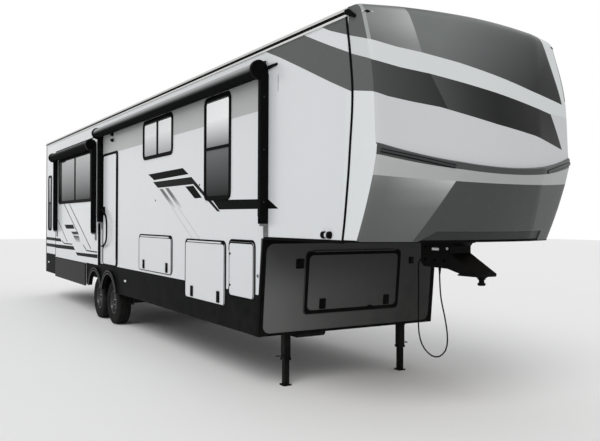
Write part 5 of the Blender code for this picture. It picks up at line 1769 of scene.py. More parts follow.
@dataclass
class SideDoor:
    """Trim, latches and hinge of one door in a side."""

    node: str
    side: Side
    x0: float
    x1: float
    z0: float
    z1: float
    hinge: str
    corner: float = 0.050

    def build(self) -> None:
        """Dress the leaf and add its trim, the trim on the wall round it, and its latches."""
        dress(WALL, self.node)
        plane = self.side.plane
        x0, x1, z0, z1 = self.x0 + 0.003, self.x1 - 0.003, self.z0 + 0.001, self.z1 - 0.003
        outer = rounded(self.x0 + 0.0015, self.x1 - 0.0015, self.z0 + 0.0005, self.z1 - 0.0015, self.corner)
        inner = rounded(x0 + 0.010, x1 - 0.014, z0 + 0.006, z1 - 0.014, self.corner * 0.8)
        Shape().ring(
            outer, inner, HALF_WIDTH - 0.002, DOOR_FACE + 0.004, plane, edge=0.002
        ).piece(f"{self.node}_trim", TRIM, body=self.node, smooth=40)
        low = self.z0 - (0.014 if self.hinge == "rear" else 0.004)
        around = rounded(self.x0 - 0.020, self.x1 + 0.034, low, self.z1 + 0.030, self.corner + 0.034)
        opening = inset((self.x0, self.x1, self.z0, self.z1), -0.0005, self.corner)
        Shape().ring(
            around, opening, HALF_WIDTH, HALF_WIDTH + 0.004, plane, edge=0.001
        ).piece(f"{self.node}_surround", TRIM, smooth=40)
        if self.hinge == "top":
            latches = Shape()
            for x in (self.x0 + 0.235, self.x1 - 0.18):
                self.latch(latches, x, self.z0 + 0.092)
            latches.piece(f"{self.node}_latches", GLOSS_BLACK, body=self.node, smooth=45)
            return
        hinges = Shape()
        for z in (self.z0 + 0.12, self.z1 - 0.14):
            steps = ((DOOR_FACE, 0.0, 0.005), (DOOR_FACE + 0.005, 0.002, 0.005))
            hinges.taper(eased((x0 + 0.014, x0 + 0.046, z - 0.012, z + 0.012), steps), plane)
        hinges.piece(f"{self.node}_hinges", TRIM, body=self.node)
        steps = ((HALF_WIDTH, 0.0, 0.006), (HALF_WIDTH + 0.012, 0.002, 0.006))
        catch = Shape().taper(eased((-0.134, -0.106, 1.228, 1.262), steps), plane)
        catch.piece(f"{self.node}_catch", BRACKET, smooth=45)

    def latch(self, shape: Shape, x: float, z: float) -> None:
        """Upright paddle latch with a key button.

        Args:
            shape: where it is added.
            x, z: its centre.
        """
        face, plane = DOOR_FACE, self.side.plane
        for w0, w1, gap, high in ((0.0, 0.007, 0.0, 0.070), (0.006, 0.013, 0.013, 0.022)):
            steps = [(face + w, g, 0.010) for w, g in ((w0, gap), (w1, gap), (w1 + 0.002, gap + 0.004))]
            shape.taper(eased((x - 0.042, x + 0.042, z - 0.070, z + high), steps), plane)
        shape.slab(circle(0.012, 16, x, z + 0.044), face + 0.008, face + 0.013, plane)


@dataclass
class EntryDoor:
    """White entry door with black edge trim, a lock and a bowed assist bar."""

    x0: float = -6.20
    x1: float = -5.37
    z0: float = 1.04
    z1: float = 3.02
    corner: float = 0.06

    def build(self) -> None:
        """Leaf, trim, hinge, lock and bar."""
        plane, face = Side.DOOR.plane, DOOR_FACE
        base = self.z0 + 0.005
        around = rounded(self.x0 - 0.060, self.x1 + 0.070, base - 0.008, self.z1 + 0.030, 0.085)
        opening = rounded(self.x0 - 0.0045, self.x1 + 0.0150, base - 0.003, self.z1 + 0.004, self.corner)
        Shape().ring(
            around, opening, HALF_WIDTH, HALF_WIDTH + 0.004, plane, edge=0.0015
        ).piece("entry_door_surround", TRIM, smooth=40)
        x1 = self.x1 - 0.0025
        steps = (
            (face - 0.042, 0.0, self.corner), (face - 0.003, 0.0, self.corner),
            (face, 0.003, self.corner - 0.003)
        )
        leaf = Shape().taper(eased((self.x0, x1, base, self.z1), steps), plane)
        leaf.piece("entry_door_leaf", WALL, body="entry_door", replaces=("entry_door",), smooth=40)
        outer = rounded(self.x0 - 0.0008, x1 + 0.0008, base - 0.0008, self.z1 + 0.0008, self.corner)
        inner = rounded(self.x0 + 0.013, x1 - 0.020, base + 0.010, self.z1 - 0.016, self.corner * 0.8)
        Shape().ring(
            outer, inner, HALF_WIDTH - 0.002, face + 0.005, plane, edge=0.002
        ).piece("entry_door_trim", TRIM, body="entry_door", smooth=40)
        Shape().rod(
            (self.x1, -(HALF_WIDTH + 0.0103), base + 0.12), (self.x1, -(HALF_WIDTH + 0.0103), self.z1 - 0.12),
            0.010
        ).piece("entry_door_hinge", TRIM, body="entry_door")
        lock = Shape()
        body, cover = (self.x0 + 0.045, self.x0 + 0.135, 1.93, 2.09), (
            self.x0 + 0.058, self.x0 + 0.122, 1.945, 2.02
        )
        lock.taper(eased(body, ((face, 0.0, 0.012), (face + 0.010, 0.002, 0.012))), plane)
        lock.taper(eased(cover, ((face + 0.009, 0.0, 0.010), (face + 0.018, 0.003, 0.010))), plane)
        lock.slab(circle(0.013, 18, self.x0 + 0.09, 2.055), face + 0.008, face + 0.016, plane)
        lock.piece("entry_door_lock", GLOSS_BLACK, body="entry_door", smooth=45)
        x, out = self.x0 + 0.035, -(face + 0.042)
        route = [
            (x, -face + 0.004, 1.37), (x, out + 0.006, 1.37), (x + 0.150, out, 1.385), (x + 0.310, out, 1.48),
            (x + 0.345, out, 1.68)
        ]
        route += [
            (x + 0.310, out, 1.87), (x + 0.150, out, 2.005), (x, out + 0.006, 2.03), (x, -face + 0.004, 2.03)
        ]
        bar = Shape().tube(smooth_line(route, 70), 0.0155, 16)
        for z in (1.37, 2.03):
            bar.slab(circle(0.034, 20, x, z), face - 0.001, face + 0.008, plane)
        bar.piece("entry_door_assist_bar", TRIM, body="entry_door", smooth=50)


@dataclass
class Awning:
    """Rolled awning between two channel arms."""

    node: str
    x0: float
    x1: float
    roller_z: float
    foot_z: float
    face: float
    body: str = "trailer"
    rise: float = 0.050
    arm_half: float = 0.0225
    fabric: Finish = FABRIC
    lift: float = 0.015

    def build(self) -> None:
        """Roll, end heads, arms, feet and the rail that holds the fabric."""
        y = -(self.face + 0.1015)
        along = along_plane(0.0, y, self.roller_z + self.lift)
        inner0, inner1 = self.x0 + 0.028, self.x1 - 0.028
        roll = []
        turns = 28
        for i in range(turns):
            angle = 2 * math.pi * i / turns
            radius = 0.083 + (0.0018 if 4 <= i <= 9 else 0.0)
            roll.append((radius * math.cos(angle), radius * math.sin(angle)))
        Shape().slab(roll, inner0, inner1, along).piece(
            f"{self.node}_roll", self.fabric, body=self.body, replaces=(self.node,), smooth=30
        )
        heads = Shape()
        for x, sign in ((self.x0, -1), (self.x1, 1)):
            profile = [
                (0.099, -0.026), (0.105, -0.020), (0.105, 0.012), (0.097, 0.020), (0.060, 0.0225),
                (0.030, 0.0225)
            ]
            turn = along @ Matrix.Translation((0, 0, x)) @ Matrix.Diagonal((1, 1, sign, 1))
            heads.lathe(profile, 32, turn)
            heads.lathe([(0.022, 0.018), (0.022, 0.0245), (0.014, 0.0265)], 16, turn)
        heads.piece(f"{self.node}_heads", GLOSS_BLACK, body=self.body, smooth=40)
        arms, inner, feet = Shape(), Shape(), Shape()
        for x in (self.x0, self.x1):
            top, wide = self.roller_z - 0.02, self.arm_half
            for step in (-1, 1):
                arms.box(
                    sorted((x + step * wide, x + step * (wide - 0.004))),
                    (-(self.face + 0.094), -(self.face + 0.004)), (self.foot_z + 0.02, top)
                )
            arms.box(
                (x - wide, x + wide), (-(self.face + 0.010), -(self.face + 0.0008)), (self.foot_z + 0.02, top)
            )
            arms.box(
                (x - wide, x + wide), (-(self.face + 0.0975), -(self.face + 0.092)), (self.foot_z + 0.10, top)
            )
            inner.box(
                (x - wide + 0.0075, x + wide - 0.0075), (-(self.face + 0.075), -(self.face + 0.035)),
                (self.foot_z + 0.05, top - 0.02)
            )
            for z in (self.foot_z + 0.25, (self.foot_z + top) / 2, top - 0.25):
                inner.rod(
                    (x - wide - 0.001, -(self.face + 0.055), z), (x + wide + 0.001, -(self.face + 0.055), z),
                    0.008, 10
                )
            middle = x - 0.0185 if x > 0 else x
            feet.box(
                (x - wide, x + wide), (-(self.face + 0.075), -(self.face + 0.0005)),
                (self.foot_z - 0.004, self.foot_z + 0.022)
            )
            feet.box(
                (middle - 0.0485, middle + 0.0485), (-(self.face + 0.010), -(self.face + 0.0005)),
                (self.foot_z - 0.114, self.foot_z - 0.003)
            )
            feet.rod(
                (middle, -(self.face + 0.016), self.foot_z - 0.058),
                (middle, -(self.face + 0.008), self.foot_z - 0.058), 0.012, 6
            )
        arms.piece(f"{self.node}_arms", ARM, body=self.body, bevel=0.0015)
        inner.piece(f"{self.node}_inner_arms", DARK_STEEL, body=self.body, bevel=0.001)
        feet.piece(f"{self.node}_feet", BRACKET, body=self.body, bevel=0.002)
        z = self.roller_z + self.rise
        end = self.x1 - 0.03
        rail = rect(self.x0 + 0.03, end, z, z + 0.022)
        cover = Shape().slab(rail, self.face + 0.0005, self.face + 0.016, Side.DOOR.plane)
        if self.x1 > 0:
            ahead = [(self.x1 + 0.03, 3.440), (0.295, 3.452), (0.295, 3.474), (self.x1 + 0.03, 3.478)]
            cover.slab(ahead, self.face + 0.0005, self.face + 0.014, Side.DOOR.plane)
            cover.slab(rect(0.302, 0.308, 3.18, 3.35), self.face, self.face + 0.0015, Side.DOOR.plane)
        cover.piece(f"{self.node}_rail", TRIM, body=self.body, bevel=0.002)
        flap = [Vector((x, -(self.face + 0.012), z + 0.008)) for x in (inner0, inner1)]
        sheet = Shape()
        top0, top1 = flap
        low0, low1 = (Vector((p.x, y + 0.01, self.roller_z + self.lift + 0.0835)) for p in flap)
        drop = Vector((0, 0, 0.0018))
        sheet.grid([[top0, top1, top1 - drop, top0 - drop], [low0, low1, low1 - drop, low0 - drop]])
        sheet.piece(f"{self.node}_flap", self.fabric, body=self.body)


@dataclass
class WheelPair:
    """Tyre and rim of one wheel."""

    end: str
    side: Side
    turns: int = 108
    spokes: int = 9

    @property
    def body(self) -> str:
        """Body that the wheel turns with."""
        return f"wheel_{self.end}_{self.side.label}"

    def build(self) -> None:
        """Tyre and rim."""
        plane = wheel_plane(AXLES[self.end], self.side)
        self.tyre(plane)
        self.rim(plane)

    def tyre(self, plane: Matrix) -> None:
        """Tyre with grooves round it, blocks at its shoulders and ribs on its wall.

        Args:
            plane: frame at the wheel's centre.
        """
        half, out = TYRE_WIDTH / 2, TYRE_RADIUS
        wall = [
            (RIM_RADIUS - 0.001, 0.78), (RIM_RADIUS + 0.008, 0.86), (RIM_RADIUS + 0.014, 0.90), (
                RIM_RADIUS + 0.040, 0.965
            ),
            (
                RIM_RADIUS + 0.062, 0.985
            ), (RIM_RADIUS + 0.066, 1.0), (RIM_RADIUS + 0.078, 1.0), (RIM_RADIUS + 0.082, 0.992),
            (RIM_RADIUS + 0.112, 0.99), (out - 0.045, 0.955), (out - 0.030, 0.925),
        ]
        shoulder = [(out - 0.016, 0.885), (out - 0.006, 0.835)]
        tread = [
            (out - 0.0015, 0.765), (out, 0.55), (out - 0.009, 0.535), (out - 0.009, 0.455), (out, 0.44),
            (out, 0.155), (out - 0.009, 0.14), (out - 0.009, 0.065), (out, 0.05)
        ]
        outer = wall + shoulder + tread
        profile = [(r, -s * half) for r, s in outer] + [(r, s * half) for r, s in reversed(outer)]
        count = len(profile)
        rings = []
        for k, (radius, height) in enumerate(profile):
            station = k if k < count // 2 else count - 1 - k
            block = len(wall) - 1 <= station <= len(wall) + 2
            ring = []
            for i in range(self.turns):
                angle = 2 * math.pi * (i + (0.5 if height > 0 else 0.0)) / self.turns
                cut = 0.007 if block and i % 3 == 0 else 0.0
                edge = 0.003 if station in (
                    len(outer) - 1, len(outer) - 4, len(outer) - 5
                ) and i % 3 == 1 and radius > out - 0.002 else 0.0
                r = radius - cut - edge
                ring.append(plane @ Vector((r * math.cos(angle), r * math.sin(angle), height)))
            rings.append(ring)
        tyre = Shape().grid(rings + [rings[0]], caps=False).weld()
        tyre.piece(
            f"{self.body}_tyre", RUBBER, body=self.body, replaces=(f"tyre_{self.end}_{self.side.label}",),
            smooth=28
        )

    def rim(self, plane: Matrix) -> None:
        """Barrel with lips, forked spokes, hub, nuts and valve.

        Args:
            plane: frame at the wheel's centre.
        """
        edge = RIM_RADIUS - 0.0005
        barrel = [
            (edge, -0.090), (edge, 0.088), (
                edge - 0.001, 0.0955
            ), (edge - 0.006, 0.0985), (edge - 0.012, 0.0965), (edge - 0.015, 0.090), (edge - 0.017, 0.078),
            (edge - 0.026, 0.064), (edge - 0.027, -0.076), (edge - 0.020, -0.088), (edge - 0.010, -0.094),
        ]
        shape = Shape().lathe(barrel, 64, plane, closed=True)
        shape.lathe([(0.055, 0.012), (edge - 0.020, 0.006), (edge - 0.020, 0.012), (0.055, 0.020)], 48, plane)
        reach = edge - 0.020
        for i in range(self.spokes):
            turn = plane @ Matrix.Rotation(2 * math.pi * (i + 0.25) / self.spokes, 4, "Z")
            for lean in (-1, 1):
                path = [
                    turn @ Vector((0.060, lean * 0.009, 0.050)), turn @ Vector((0.100, lean * 0.013, 0.062)),
                    turn @ Vector((0.150, lean * 0.024, 0.066)), turn @ Vector((reach, lean * 0.040, 0.060)),
                ]
                out = (plane.to_3x3() @ Vector((0, 0, 1))).normalized()
                shape.sweep(
                    path,
                    [
                        (-0.0085, -0.020), (0.0085, -0.020), (0.0080, 0.000), (0.0045, 0.004),
                        (-0.0045, 0.004), (-0.0080, 0.000)
                    ],
                    out
                )
        shape.lathe([(0.066, 0.020), (0.066, 0.058), (0.062, 0.064), (0.048, 0.066)], 40, plane)
        shape.piece(
            f"{self.body}_rim", RIM_BLACK, body=self.body, replaces=(f"rim_{self.end}_{self.side.label}",)
        )
        Shape().lathe(
            [(0.036, 0.060), (0.036, 0.078), (0.032, 0.084), (0.020, 0.087)], 32, plane
        ).piece(f"{self.body}_cap", GLOSS_BLACK, body=self.body, smooth=50)
        nuts = Shape()
        for at in round_about(plane, 8, 0.0505, 0.062):
            nuts.slab(circle(0.0085, 6), 0.0, 0.014, at)
            nuts.lathe([(0.0065, 0.013), (0.0065, 0.019), (0.004, 0.021)], 12, at)
        valve = plane @ Vector((edge - 0.045, 0.0, 0.050))
        tip = plane @ Vector((edge - 0.052, 0.0, 0.082))
        nuts.rod(valve, tip, 0.004, 10)
        nuts.piece(f"{self.body}_nuts", STEEL, body=self.body, smooth=30)


@dataclass
class RunningGear:
    """Fenders, axles, springs and chassis."""

    def build(self) -> None:
        """Dress the nodes and add flare rims, shackle bolts and spring bands."""
        dress(TRIM, "fender_right", "fender_left")
        dress(
            FRAME, "chassis_frame", "suspension_right", "suspension_left", "axle_front", "axle_rear",
            "rear_bumper"
        )
        dress(SKIRT, "underbelly")
        for side in Side:
            self.flare(side)
            self.spring_hardware(side)
        for x in AXLES.values():
            bolts = Shape()
            for side in Side:
                out = side.value * (WHEEL_Y - TYRE_WIDTH / 2 + 0.012)
                drum = Matrix.Translation((x, out, TYRE_RADIUS)) @ side.plane
                bolts.lathe([(0.148, -0.002), (0.148, 0.020), (0.140, 0.026), (0.138, 0.0)], 40, drum)
                for at in round_about(drum, 5, 0.055, -0.014):
                    bolts.slab(circle(0.010, 6), 0.0, 0.014, at)
            bolts.piece(
                "brake_plates_front" if x == AXLES["front"] else "brake_plates_rear", DARK_STEEL, smooth=40
            )
        caps = Shape()
        for side in Side:
            caps.box((-11.398, -11.302), sorted((side.value * 1.1701, side.value * 1.176)), (0.602, 0.698))
        caps.piece("bumper_caps", TRIM, bevel=0.003)

    def flare(self, side: Side) -> None:
        """Raised bead that follows the outer edge of both arches.

        Args:
            side: which side.
        """
        centres = sorted(AXLES.values())
        outer = ARCH_RADIUS + 0.052
        drop = math.asin((SKIRT_BASE_Z + 0.01 - ARCH_Z) / outer)
        half = (centres[1] - centres[0]) / 2
        meet = math.acos(half / outer)
        face = HALF_WIDTH + SEAT + 0.045

        def arc(x: float, radius: float, start: float, end: float, steps: int, out: float) -> list[Vector]:
            angles = [start + (end - start) * i / steps for i in range(steps + 1)]
            y = side.value * out
            return [Vector((x + radius * math.cos(a), y, ARCH_Z + radius * math.sin(a))) for a in angles]

        path = arc(centres[0], outer, math.pi - drop, meet, 28, face)
        path += arc(centres[1], outer, math.pi - meet, drop, 28, face)[1:]
        section = [(-0.007, -0.004), (0.007, -0.004), (0.006, 0.002), (0.0, 0.0036), (-0.006, 0.002)]
        Shape().sweep(path, section, Vector((0, side.value, 0))).piece(
            f"fender_bead_{side.label}", FLARE_RIM, smooth=50
        )
        lips = Shape()
        for x in centres:
            points = arc(x, ARCH_RADIUS + 0.004, math.pi - drop, drop, 32, face + 0.001)
            lips.sweep(points, rect(-0.006, 0.006, -0.006, 0.002), Vector((0, side.value, 0)))
        lips.piece(f"fender_lip_{side.label}", FLARE_RIM, smooth=50)

    def spring_hardware(self, side: Side) -> None:
        """U-bolts, tie plates and shackle bolts of one side.

        Args:
            side: which side.
        """
        y = side.value * 0.84
        shape = Shape()
        for x in AXLES.values():
            shape.box((x - 0.055, x + 0.055), (y - 0.042, y + 0.042), (0.4560, 0.4680))
            shape.box((x - 0.055, x + 0.055), (y - 0.042, y + 0.042), (0.3330, 0.3450))
            for dx in (-0.042, 0.042):
                for dy in (-0.033, 0.033):
                    shape.rod((x + dx, y + dy, 0.318), (x + dx, y + dy, 0.482), 0.006, 10)
                    shape.slab(circle(0.011, 6, x + dx, y + dy), 0.468, 0.477)
        middle = sum(AXLES.values()) / 2
        half = 0.40
        for x in (AXLES["front"] + half, middle, AXLES["rear"] - half):
            shape.rod((x, y - 0.040, 0.526), (x, y + 0.040, 0.526), 0.010, 12)
        shape.piece(f"spring_hardware_{side.label}", DARK_STEEL, smooth=30)


@dataclass
class LandingGear:
    """Drop legs with their hole rows, pull pins and crank."""

    def build(self) -> None:
        """Dress the legs and add what is on them."""
        dress(HITCH, "landing_leg_right", "landing_leg_left")
        for side in Side:
            y = side.value * LEG_Y
            holes, pins, feet = Shape(), Shape(), Shape()
            for k in range(5):
                z = 0.055 + 0.045 * k
                for face in (-1, 1):
                    at = Matrix.Translation(
                        (LEG_X + face * 0.0308, y, z)
                    ) @ Matrix.Rotation(math.radians(90), 4, "Y")
                    holes.slab(circle(0.0085, 16), -0.0008, 0.0008, at)
                    at = Matrix.Translation(
                        (LEG_X, y + face * 0.0308, z)
                    ) @ Matrix.Rotation(math.radians(90), 4, "X")
                    holes.slab(circle(0.0085, 16), -0.0008, 0.0008, at)
            holes.piece(f"leg_holes_{side.label}", RUBBER_SEAL)
            collar = [(LEG_X + u * 0.046, y + v * 0.046) for u, v in ((-1, -1), (1, -1), (1, 1), (-1, 1))]
            Shape().slab(collar, 0.2846, 0.312).slab(collar, 0.560, 0.574).piece(
                f"leg_collar_{side.label}", HITCH, bevel=0.003
            )
            z, out = 0.335, side.value
            reach = 0.085 if side is Side.DOOR else 0.070
            pins.rod((LEG_X, y - out * 0.058, z), (LEG_X, y + out * (0.035 + reach), z), 0.0075, 14)
            pins.rod((LEG_X, y + out * 0.036, z), (LEG_X, y + out * 0.052, z), 0.012, 14)
            tip = y + out * (0.040 + reach)
            pins.tube(
                smooth_line(
                    [
                        (LEG_X - 0.024, tip - out * 0.012, z), (LEG_X, tip, z),
                        (LEG_X + 0.024, tip - out * 0.012, z)
                    ],
                    12
                ),
                0.0060, 10
            )
            pins.piece(f"leg_pull_pin_{side.label}", DARK_STEEL, smooth=40)
            for dx in (-1, 1):
                feet.box(
                    sorted((LEG_X + dx * 0.0505, LEG_X + dx * 0.0455)), (y - 0.0505, y + 0.0505),
                    (0.004, 0.018)
                )
            feet.piece(f"leg_foot_rims_{side.label}", HITCH, bevel=0.0015)
        gear = Shape()
        gear.rod((LEG_X + 0.01, -LEG_Y + 0.05, 0.600), (LEG_X + 0.01, LEG_Y - 0.05, 0.600), 0.010, 14)
        gear.piece("leg_cross_shaft", DARK_STEEL, smooth=40)


@dataclass
class FrontWall:
    """Lower front wall: edge trims, access door frame, latches and the belly lip."""

    def build(self) -> None:
        """Dress the wall and door and add their trims."""
        dress(FRONT, "front_wall", "front_door")
        plane = front_plane()
        length = math.hypot(FRONT_LEAN, OVERHANG_Z - SKIRT_BASE_Z)
        outer = rounded(-HALF_WIDTH, HALF_WIDTH, 0.0, length - 0.002, 0.010)
        inner = rounded(-HALF_WIDTH + 0.045, HALF_WIDTH - 0.045, 0.030, length - 0.060, 0.090)
        Shape().ring(outer, inner, -0.001, 0.004, plane, edge=0.002).piece("front_wall_edge", TRIM, smooth=40)
        door = rounded(-0.668, 0.668, 0.217, 0.920, 0.05)
        gap = rounded(-0.628, 0.628, 0.257, 0.880, 0.055)
        Shape().ring(door, gap, 0.006, 0.013, plane, edge=0.003).piece(
            "front_door_frame", TRIM, body="front_door", smooth=40
        )
        latches = Shape()
        for y, up in ((-0.425, 0.325), (0.485, 0.325)):
            for w0, w1, gap, high in ((0.006, 0.014, 0.0, 0.060), (0.013, 0.020, 0.012, 0.018)):
                steps = ((w0, gap, 0.010), (w1, gap, 0.010), (w1 + 0.002, gap + 0.004, 0.010))
                latches.taper(eased((y - 0.0425, y + 0.0425, up - 0.060, up + high), steps), plane)
            latches.slab(circle(0.012, 16, y, up + 0.038), 0.015, 0.020, plane)
        latches.taper(
            [
                (0.006, rounded(0.210, 0.280, 0.232, 0.272, 0.012)),
                (0.018, rounded(0.215, 0.275, 0.236, 0.268, 0.010))
            ],
            plane
        )
        latches.piece("front_door_latches", GLOSS_BLACK, body="front_door", smooth=45)
        boxes = Shape()
        for y, wide, high in ((-0.745, 0.050, 0.054), (0.845, 0.034, 0.040)):
            steps = ((0.0, 0.0, 0.008), (0.010, 0.0, 0.008), (0.012, 0.002, 0.008))
            boxes.taper(eased((y - wide, y + wide, 0.789 - high, 0.789 + high), steps), plane)
        boxes.piece("front_wall_fittings", GLOSS_BLACK, smooth=45)
        pan = [
            (-0.45, 0.583), (-0.105, 0.583), (-0.110, 0.560), (-0.14, 0.532), (-0.42, 0.532), (-0.45, 0.560)
        ]
        Shape().slab(pan, 0.35, 0.72, Side.DOOR.plane).piece("belly_pan", SKIRT, bevel=0.006)


@dataclass
class Hitch:
    """Pin box with its gussets and bolts, and the king pin."""

    def build(self) -> None:
        """Dress the nodes and add plates, bolts and weld beads."""
        dress(HITCH, "pin_box", "king_pin")
        for side in Side:
            y = PIN_BOX_HALF
            plate = [
                (1.286, 1.638), (1.286, 1.449), (1.321, 1.415), (1.655, 1.407), (1.802, 1.373),
                (1.882, 1.361), (1.985, 1.361), (1.676, 1.538), (1.676, 1.606), (1.700, 1.638)
            ]
            Shape().slab(plate, y - 0.001, y + 0.004, side.plane).piece(
                f"pin_box_plate_{side.label}", HITCH, bevel=0.0015
            )
            bolts = Shape()
            for x, z in ((1.335, 1.470), (1.335, 1.595), (1.470, 1.470), (1.600, 1.470)):
                bolts.slab(circle(0.020, 20, x, z), y + 0.003, y + 0.006, side.plane)
                bolts.slab(circle(0.0145, 6, x, z), y + 0.005, y + 0.015, side.plane)
                bolts.slab(circle(0.008, 12, x, z), y + 0.014, y + 0.020, side.plane)
            bolts.piece(f"pin_box_bolts_{side.label}", HITCH, smooth=30)
            bright = Shape().slab(circle(0.014, 6, 1.654, 1.588), y + 0.003, y + 0.013, side.plane)
            bright.slab(circle(0.007, 12, 1.654, 1.588), y + 0.012, y + 0.018, side.plane)
            bright.slab(rounded(1.436, 1.534, 1.566, 1.590, 0.006), y + 0.003, y + 0.0045, side.plane)
            bright.piece(f"pin_box_bright_{side.label}", ALUMINIUM, smooth=30)
            flange = rect(1.26, 1.72, 1.640, 1.6543)
            Shape().slab(flange, y - 0.002, y + 0.032, side.plane).piece(
                f"pin_box_flange_{side.label}", HITCH, bevel=0.002
            )
        beads = Shape()
        for sign in (-1, 1):
            beads.tube(
                [Vector((x, sign * (PIN_BOX_HALF + 0.002), PIN_PLATE_Z + 0.016)) for x in (1.81, 1.98)],
                0.004, 8
            )
        beads.piece("pin_plate_welds", HITCH)
        Shape().lathe(
            [(0.052, -0.0002), (0.052, -0.010), (0.047, -0.014), (0.0368, -0.014), (0.0368, -0.0002)], 40,
            up_plane(PIN_X, 0, PIN_PLATE_Z), closed=True
        ).piece("king_pin_collar", HITCH, smooth=40)


@dataclass
class RearEnd:
    """Rear wall lamps, ladder and trims."""

    def build(self) -> None:
        """Dress the ladder and add lamps and the lower panel."""
        dress(ALUMINIUM, "rear_ladder")
        back = Matrix(((0, 0, -1, REAR_X), (1, 0, 0, 0), (0, 1, 0, 0), (0, 0, 0, 1)))
        Shape().slab(
            rect(-1.18, 1.18, 0.590, 0.972), 0.0002, 0.003, back
        ).piece("rear_skirt", SKIRT, bevel=0.001)
        Shape().slab(
            rect(-1.18, 1.18, 0.972, 0.990), 0.0002, 0.005, back
        ).piece("rear_skirt_edge", TRIM, bevel=0.001)
        housings, red, clear, markers = Shape(), Shape(), Shape(), Shape()
        for s in (-1, 1):
            u = s * 1.09
            housing = ((0.0, 0.0, 0.03), (0.014, 0.002, 0.03), (0.018, 0.007, 0.027))
            housings.taper(eased((u - 0.065, u + 0.065, 1.06, 1.42), housing), back)
            for low, high in ((1.085, 1.185), (1.295, 1.395)):
                lens = ((0.016, 0.0, 0.018), (0.026, 0.002, 0.018), (0.030, 0.009, 0.014))
                red.taper(eased((u - 0.045, u + 0.045, low, high), lens), back)
            lens = ((0.016, 0.0, 0.018), (0.024, 0.002, 0.018))
            clear.taper(eased((u - 0.045, u + 0.045, 1.195, 1.285), lens), back)
        for u in (-1.12, 1.12, -0.20, 0.0, 0.20):
            lens = ((0.0, 0.0, 0.014), (0.018, 0.005, 0.012))
            markers.taper(eased((u - 0.045, u + 0.045, 3.60, 3.635), lens), back)
        housings.piece("tail_lamp_housings", GLOSS_BLACK, smooth=45)
        red.piece("tail_lamp_lenses", RED_LENS, smooth=45)
        clear.piece("reverse_lamp_lenses", CLEAR_LENS, smooth=45)
        markers.piece("rear_marker_lamps", RED_LENS, smooth=45)
        feet = Shape()
        for u in (0.55, 0.95):
            for z in (0.90, 2.275, 3.55):
                steps = ((0.0, 0.0, 0.012), (0.006, 0.002, 0.012))
                feet.taper(eased((u - 0.030, u + 0.030, z - 0.045, z + 0.045), steps), back)
        feet.piece("ladder_feet", ALUMINIUM, smooth=45)
        treads = Shape()
        for k in range(9):
            z = 0.95 + (3.50 - 0.95) * k / 8
            treads.box((-11.3995, -11.378), (0.575, 0.925), (z + 0.006, z + 0.0125))
        treads.piece("ladder_treads", RUBBER_SEAL, bevel=0.001)


@dataclass
class AirUnit:
    """Roof air housing with a ribbed shroud and side grilles."""

    node: str
    x: float
    length: float = 0.95
    width: float = 0.68
    height: float = 0.26

    def build(self) -> None:
        """Shroud, base gasket, ribs and louvres."""
        base = ROOF_EDGE_Z + ROOF_CROWN + SEAT
        plane = up_plane(self.x, 0.0, base)

        def level(share: float, radius: float) -> Outline:
            return rounded(
                -self.length / 2 * share, self.length / 2 * share, -self.width / 2 * share,
                self.width / 2 * share, radius
            )

        levels = [
            (0.0, level(1.0, 0.05)), (0.06, level(0.99, 0.06)), (0.14, level(0.95, 0.08)),
            (0.205, level(0.90, 0.09)), (0.240, level(0.85, 0.09)), (0.2565, level(0.79, 0.08)),
            (self.height, level(0.70, 0.06))
        ]
        Shape().taper(levels, plane).piece(
            f"{self.node}_shroud", ROOF_PLASTIC, replaces=(self.node,), smooth=30
        )
        grille = Shape()
        for s in (-1, 1):
            for k in range(9):
                x = self.x - 0.30 + 0.075 * k
                grille.box(
                    (x - 0.024, x + 0.024), sorted((s * 0.3215, s * 0.334)), (base + 0.055, base + 0.125)
                )
        for k in range(6):
            y = -0.20 + 0.08 * k
            grille.box((self.x - 0.468, self.x - 0.455), (y - 0.026, y + 0.026), (base + 0.055, base + 0.125))
        grille.piece(f"{self.node}_vents", TRIM, bevel=0.002)
        ribs = Shape()
        for y in (-0.14, 0.0, 0.14):
            ribs.box(
                (self.x - 0.28, self.x + 0.28), (y - 0.010, y + 0.010),
                (base + self.height - 0.006, base + self.height - 0.0005)
            )
        ribs.piece(f"{self.node}_ribs", ROOF_PLASTIC, bevel=0.002)
        Shape().slab(
            rounded(self.x - 0.49, self.x + 0.49, -0.355, 0.355, 0.04), base - 0.012, base + 0.004
        ).piece(f"{self.node}_gasket", RUBBER_SEAL, bevel=0.002)


@dataclass
class RoofSheet:
    """Lap seams and sealant on the roof membrane."""

    laps: Sequence[float] = (-9.6, -6.4, -3.2)

    def build(self) -> None:
        """Seams across the roof and a bead along its rear edge."""
        for number, x in enumerate(self.laps):
            Shape().sweep(
                over_roof(x, 16, 0.985, 0.0),
                [(-0.045, -0.001), (0.045, -0.001), (0.040, 0.0018), (-0.040, 0.0018)], Vector((0, 0, 1))
            ).piece(f"roof_lap_{number}", MEMBRANE)
        Shape().sweep(
            over_roof(REAR_X - 0.020, 16, 0.995, 0.001), rect(-0.008, 0.030, -0.002, 0.004), Vector((0, 0, 1))
        ).piece("roof_rear_bead", ROOF_PLASTIC)
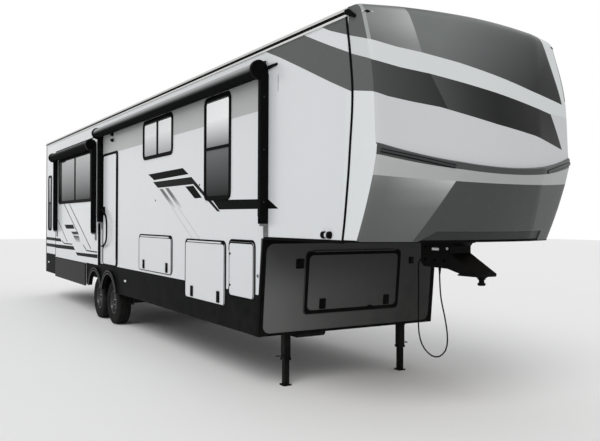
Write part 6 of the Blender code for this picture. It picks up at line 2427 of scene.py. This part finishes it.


# Pane colours here are painted reflections: pale sky at the head of a pane, darker at its foot.
WINDOWS = (
    SideWindow(
        "window_rear_corner", Side.DOOR, -11.05, -10.70, 1.60, 2.90, False, top=srgb(176, 179, 181),
        foot=srgb(120, 122, 123), second_top=srgb(50, 51, 52), second_foot=srgb(16, 16, 17)
    ),
    SideWindow(
        "window_double", Side.DOOR, -3.96, -2.70, 2.78, 3.36, True, top=srgb(252, 253, 254),
        foot=srgb(176, 179, 181), hold=0.60
    ),
    SideWindow(
        "window_tall", Side.DOOR, -1.57, -0.82, 2.10, 3.36, False, top=srgb(
            248, 249, 250
        ), foot=srgb(128, 131, 133),
        second_top=srgb(106, 108, 109), second_foot=srgb(14, 14, 15), hold=0.55,
    ),
    SideWindow(
        "window_slide_right", Side.DOOR, -9.76, -6.95, 2.21, 3.19, True, body="slide_room_right",
        top=srgb(240, 242, 243), foot=srgb(52, 54, 55), split=0.54, bar=0.045,
    ),
    SideWindow("window_slide_left", Side.OFF, -9.40, -7.60, 2.21, 3.155, True, body="slide_room_left"),
    SideWindow("window_bedroom_left", Side.OFF, -2.95, -1.95, 2.35, 3.10, True, body="bedroom_room_left"),
    SideWindow("window_off_side", Side.OFF, -5.60, -4.80, 2.45, 3.20, False),
)
DOORS = (
    SideDoor("bay_door_rear", Side.DOOR, -4.14, -2.72, 1.075, 1.60, "top"),
    SideDoor("bay_door_middle", Side.DOOR, -2.20, -0.96, 0.83, 1.575, "top"),
    SideDoor("utility_door", Side.DOOR, -0.84, -0.21, 0.975, 1.60, "rear"),
    SideDoor("bay_door_left", Side.OFF, -2.20, -0.96, 0.83, 1.575, "top"),
)
SLIDES = (
    SlideRoom("slide_room_right", Side.DOOR, -10.09, -6.40, 1.012, 3.42, foot=True),
    SlideRoom("slide_room_left", Side.OFF, -10.09, -6.40, 1.012, 3.42, foot=True),
    SlideRoom("bedroom_room_left", Side.OFF, -3.60, -1.30, 1.73, 3.42),
)
AWNINGS = (
    Awning("awning_main", -6.275, 0.075, 3.415, 1.79, HALF_WIDTH, rise=0.105, arm_half=0.030),
    Awning(
        "awning_slide", -9.90, -6.59, 3.24, 1.58, FASCIA_FACE, body="slide_room_right", fabric=SLIDE_FABRIC
    ),
)


def main() -> None:
    """Build the studio, the cord and then each sub-assembly."""
    logging.basicConfig(level=logging.INFO, format="%(name)s %(message)s")
    studio = Studio()
    studio.camera()
    PowerCord().build()
    studio.surround()
    studio.floor()
    studio.lamps()
    parts: Iterable = (
        BodyShell(), NoseShell(), FrontWall(), *SLIDES, *WINDOWS, EntryDoor(), *DOORS, *AWNINGS,
        *(WheelPair(end, side) for end in AXLES for side in Side),
        RunningGear(), LandingGear(), Hitch(), RearEnd(), AirUnit("air_unit_rear", -8.2),
        AirUnit("air_unit_front", -1.0), RoofSheet(),
    )
    for part in parts:
        part.build()


if __name__ == "__main__":
    main()
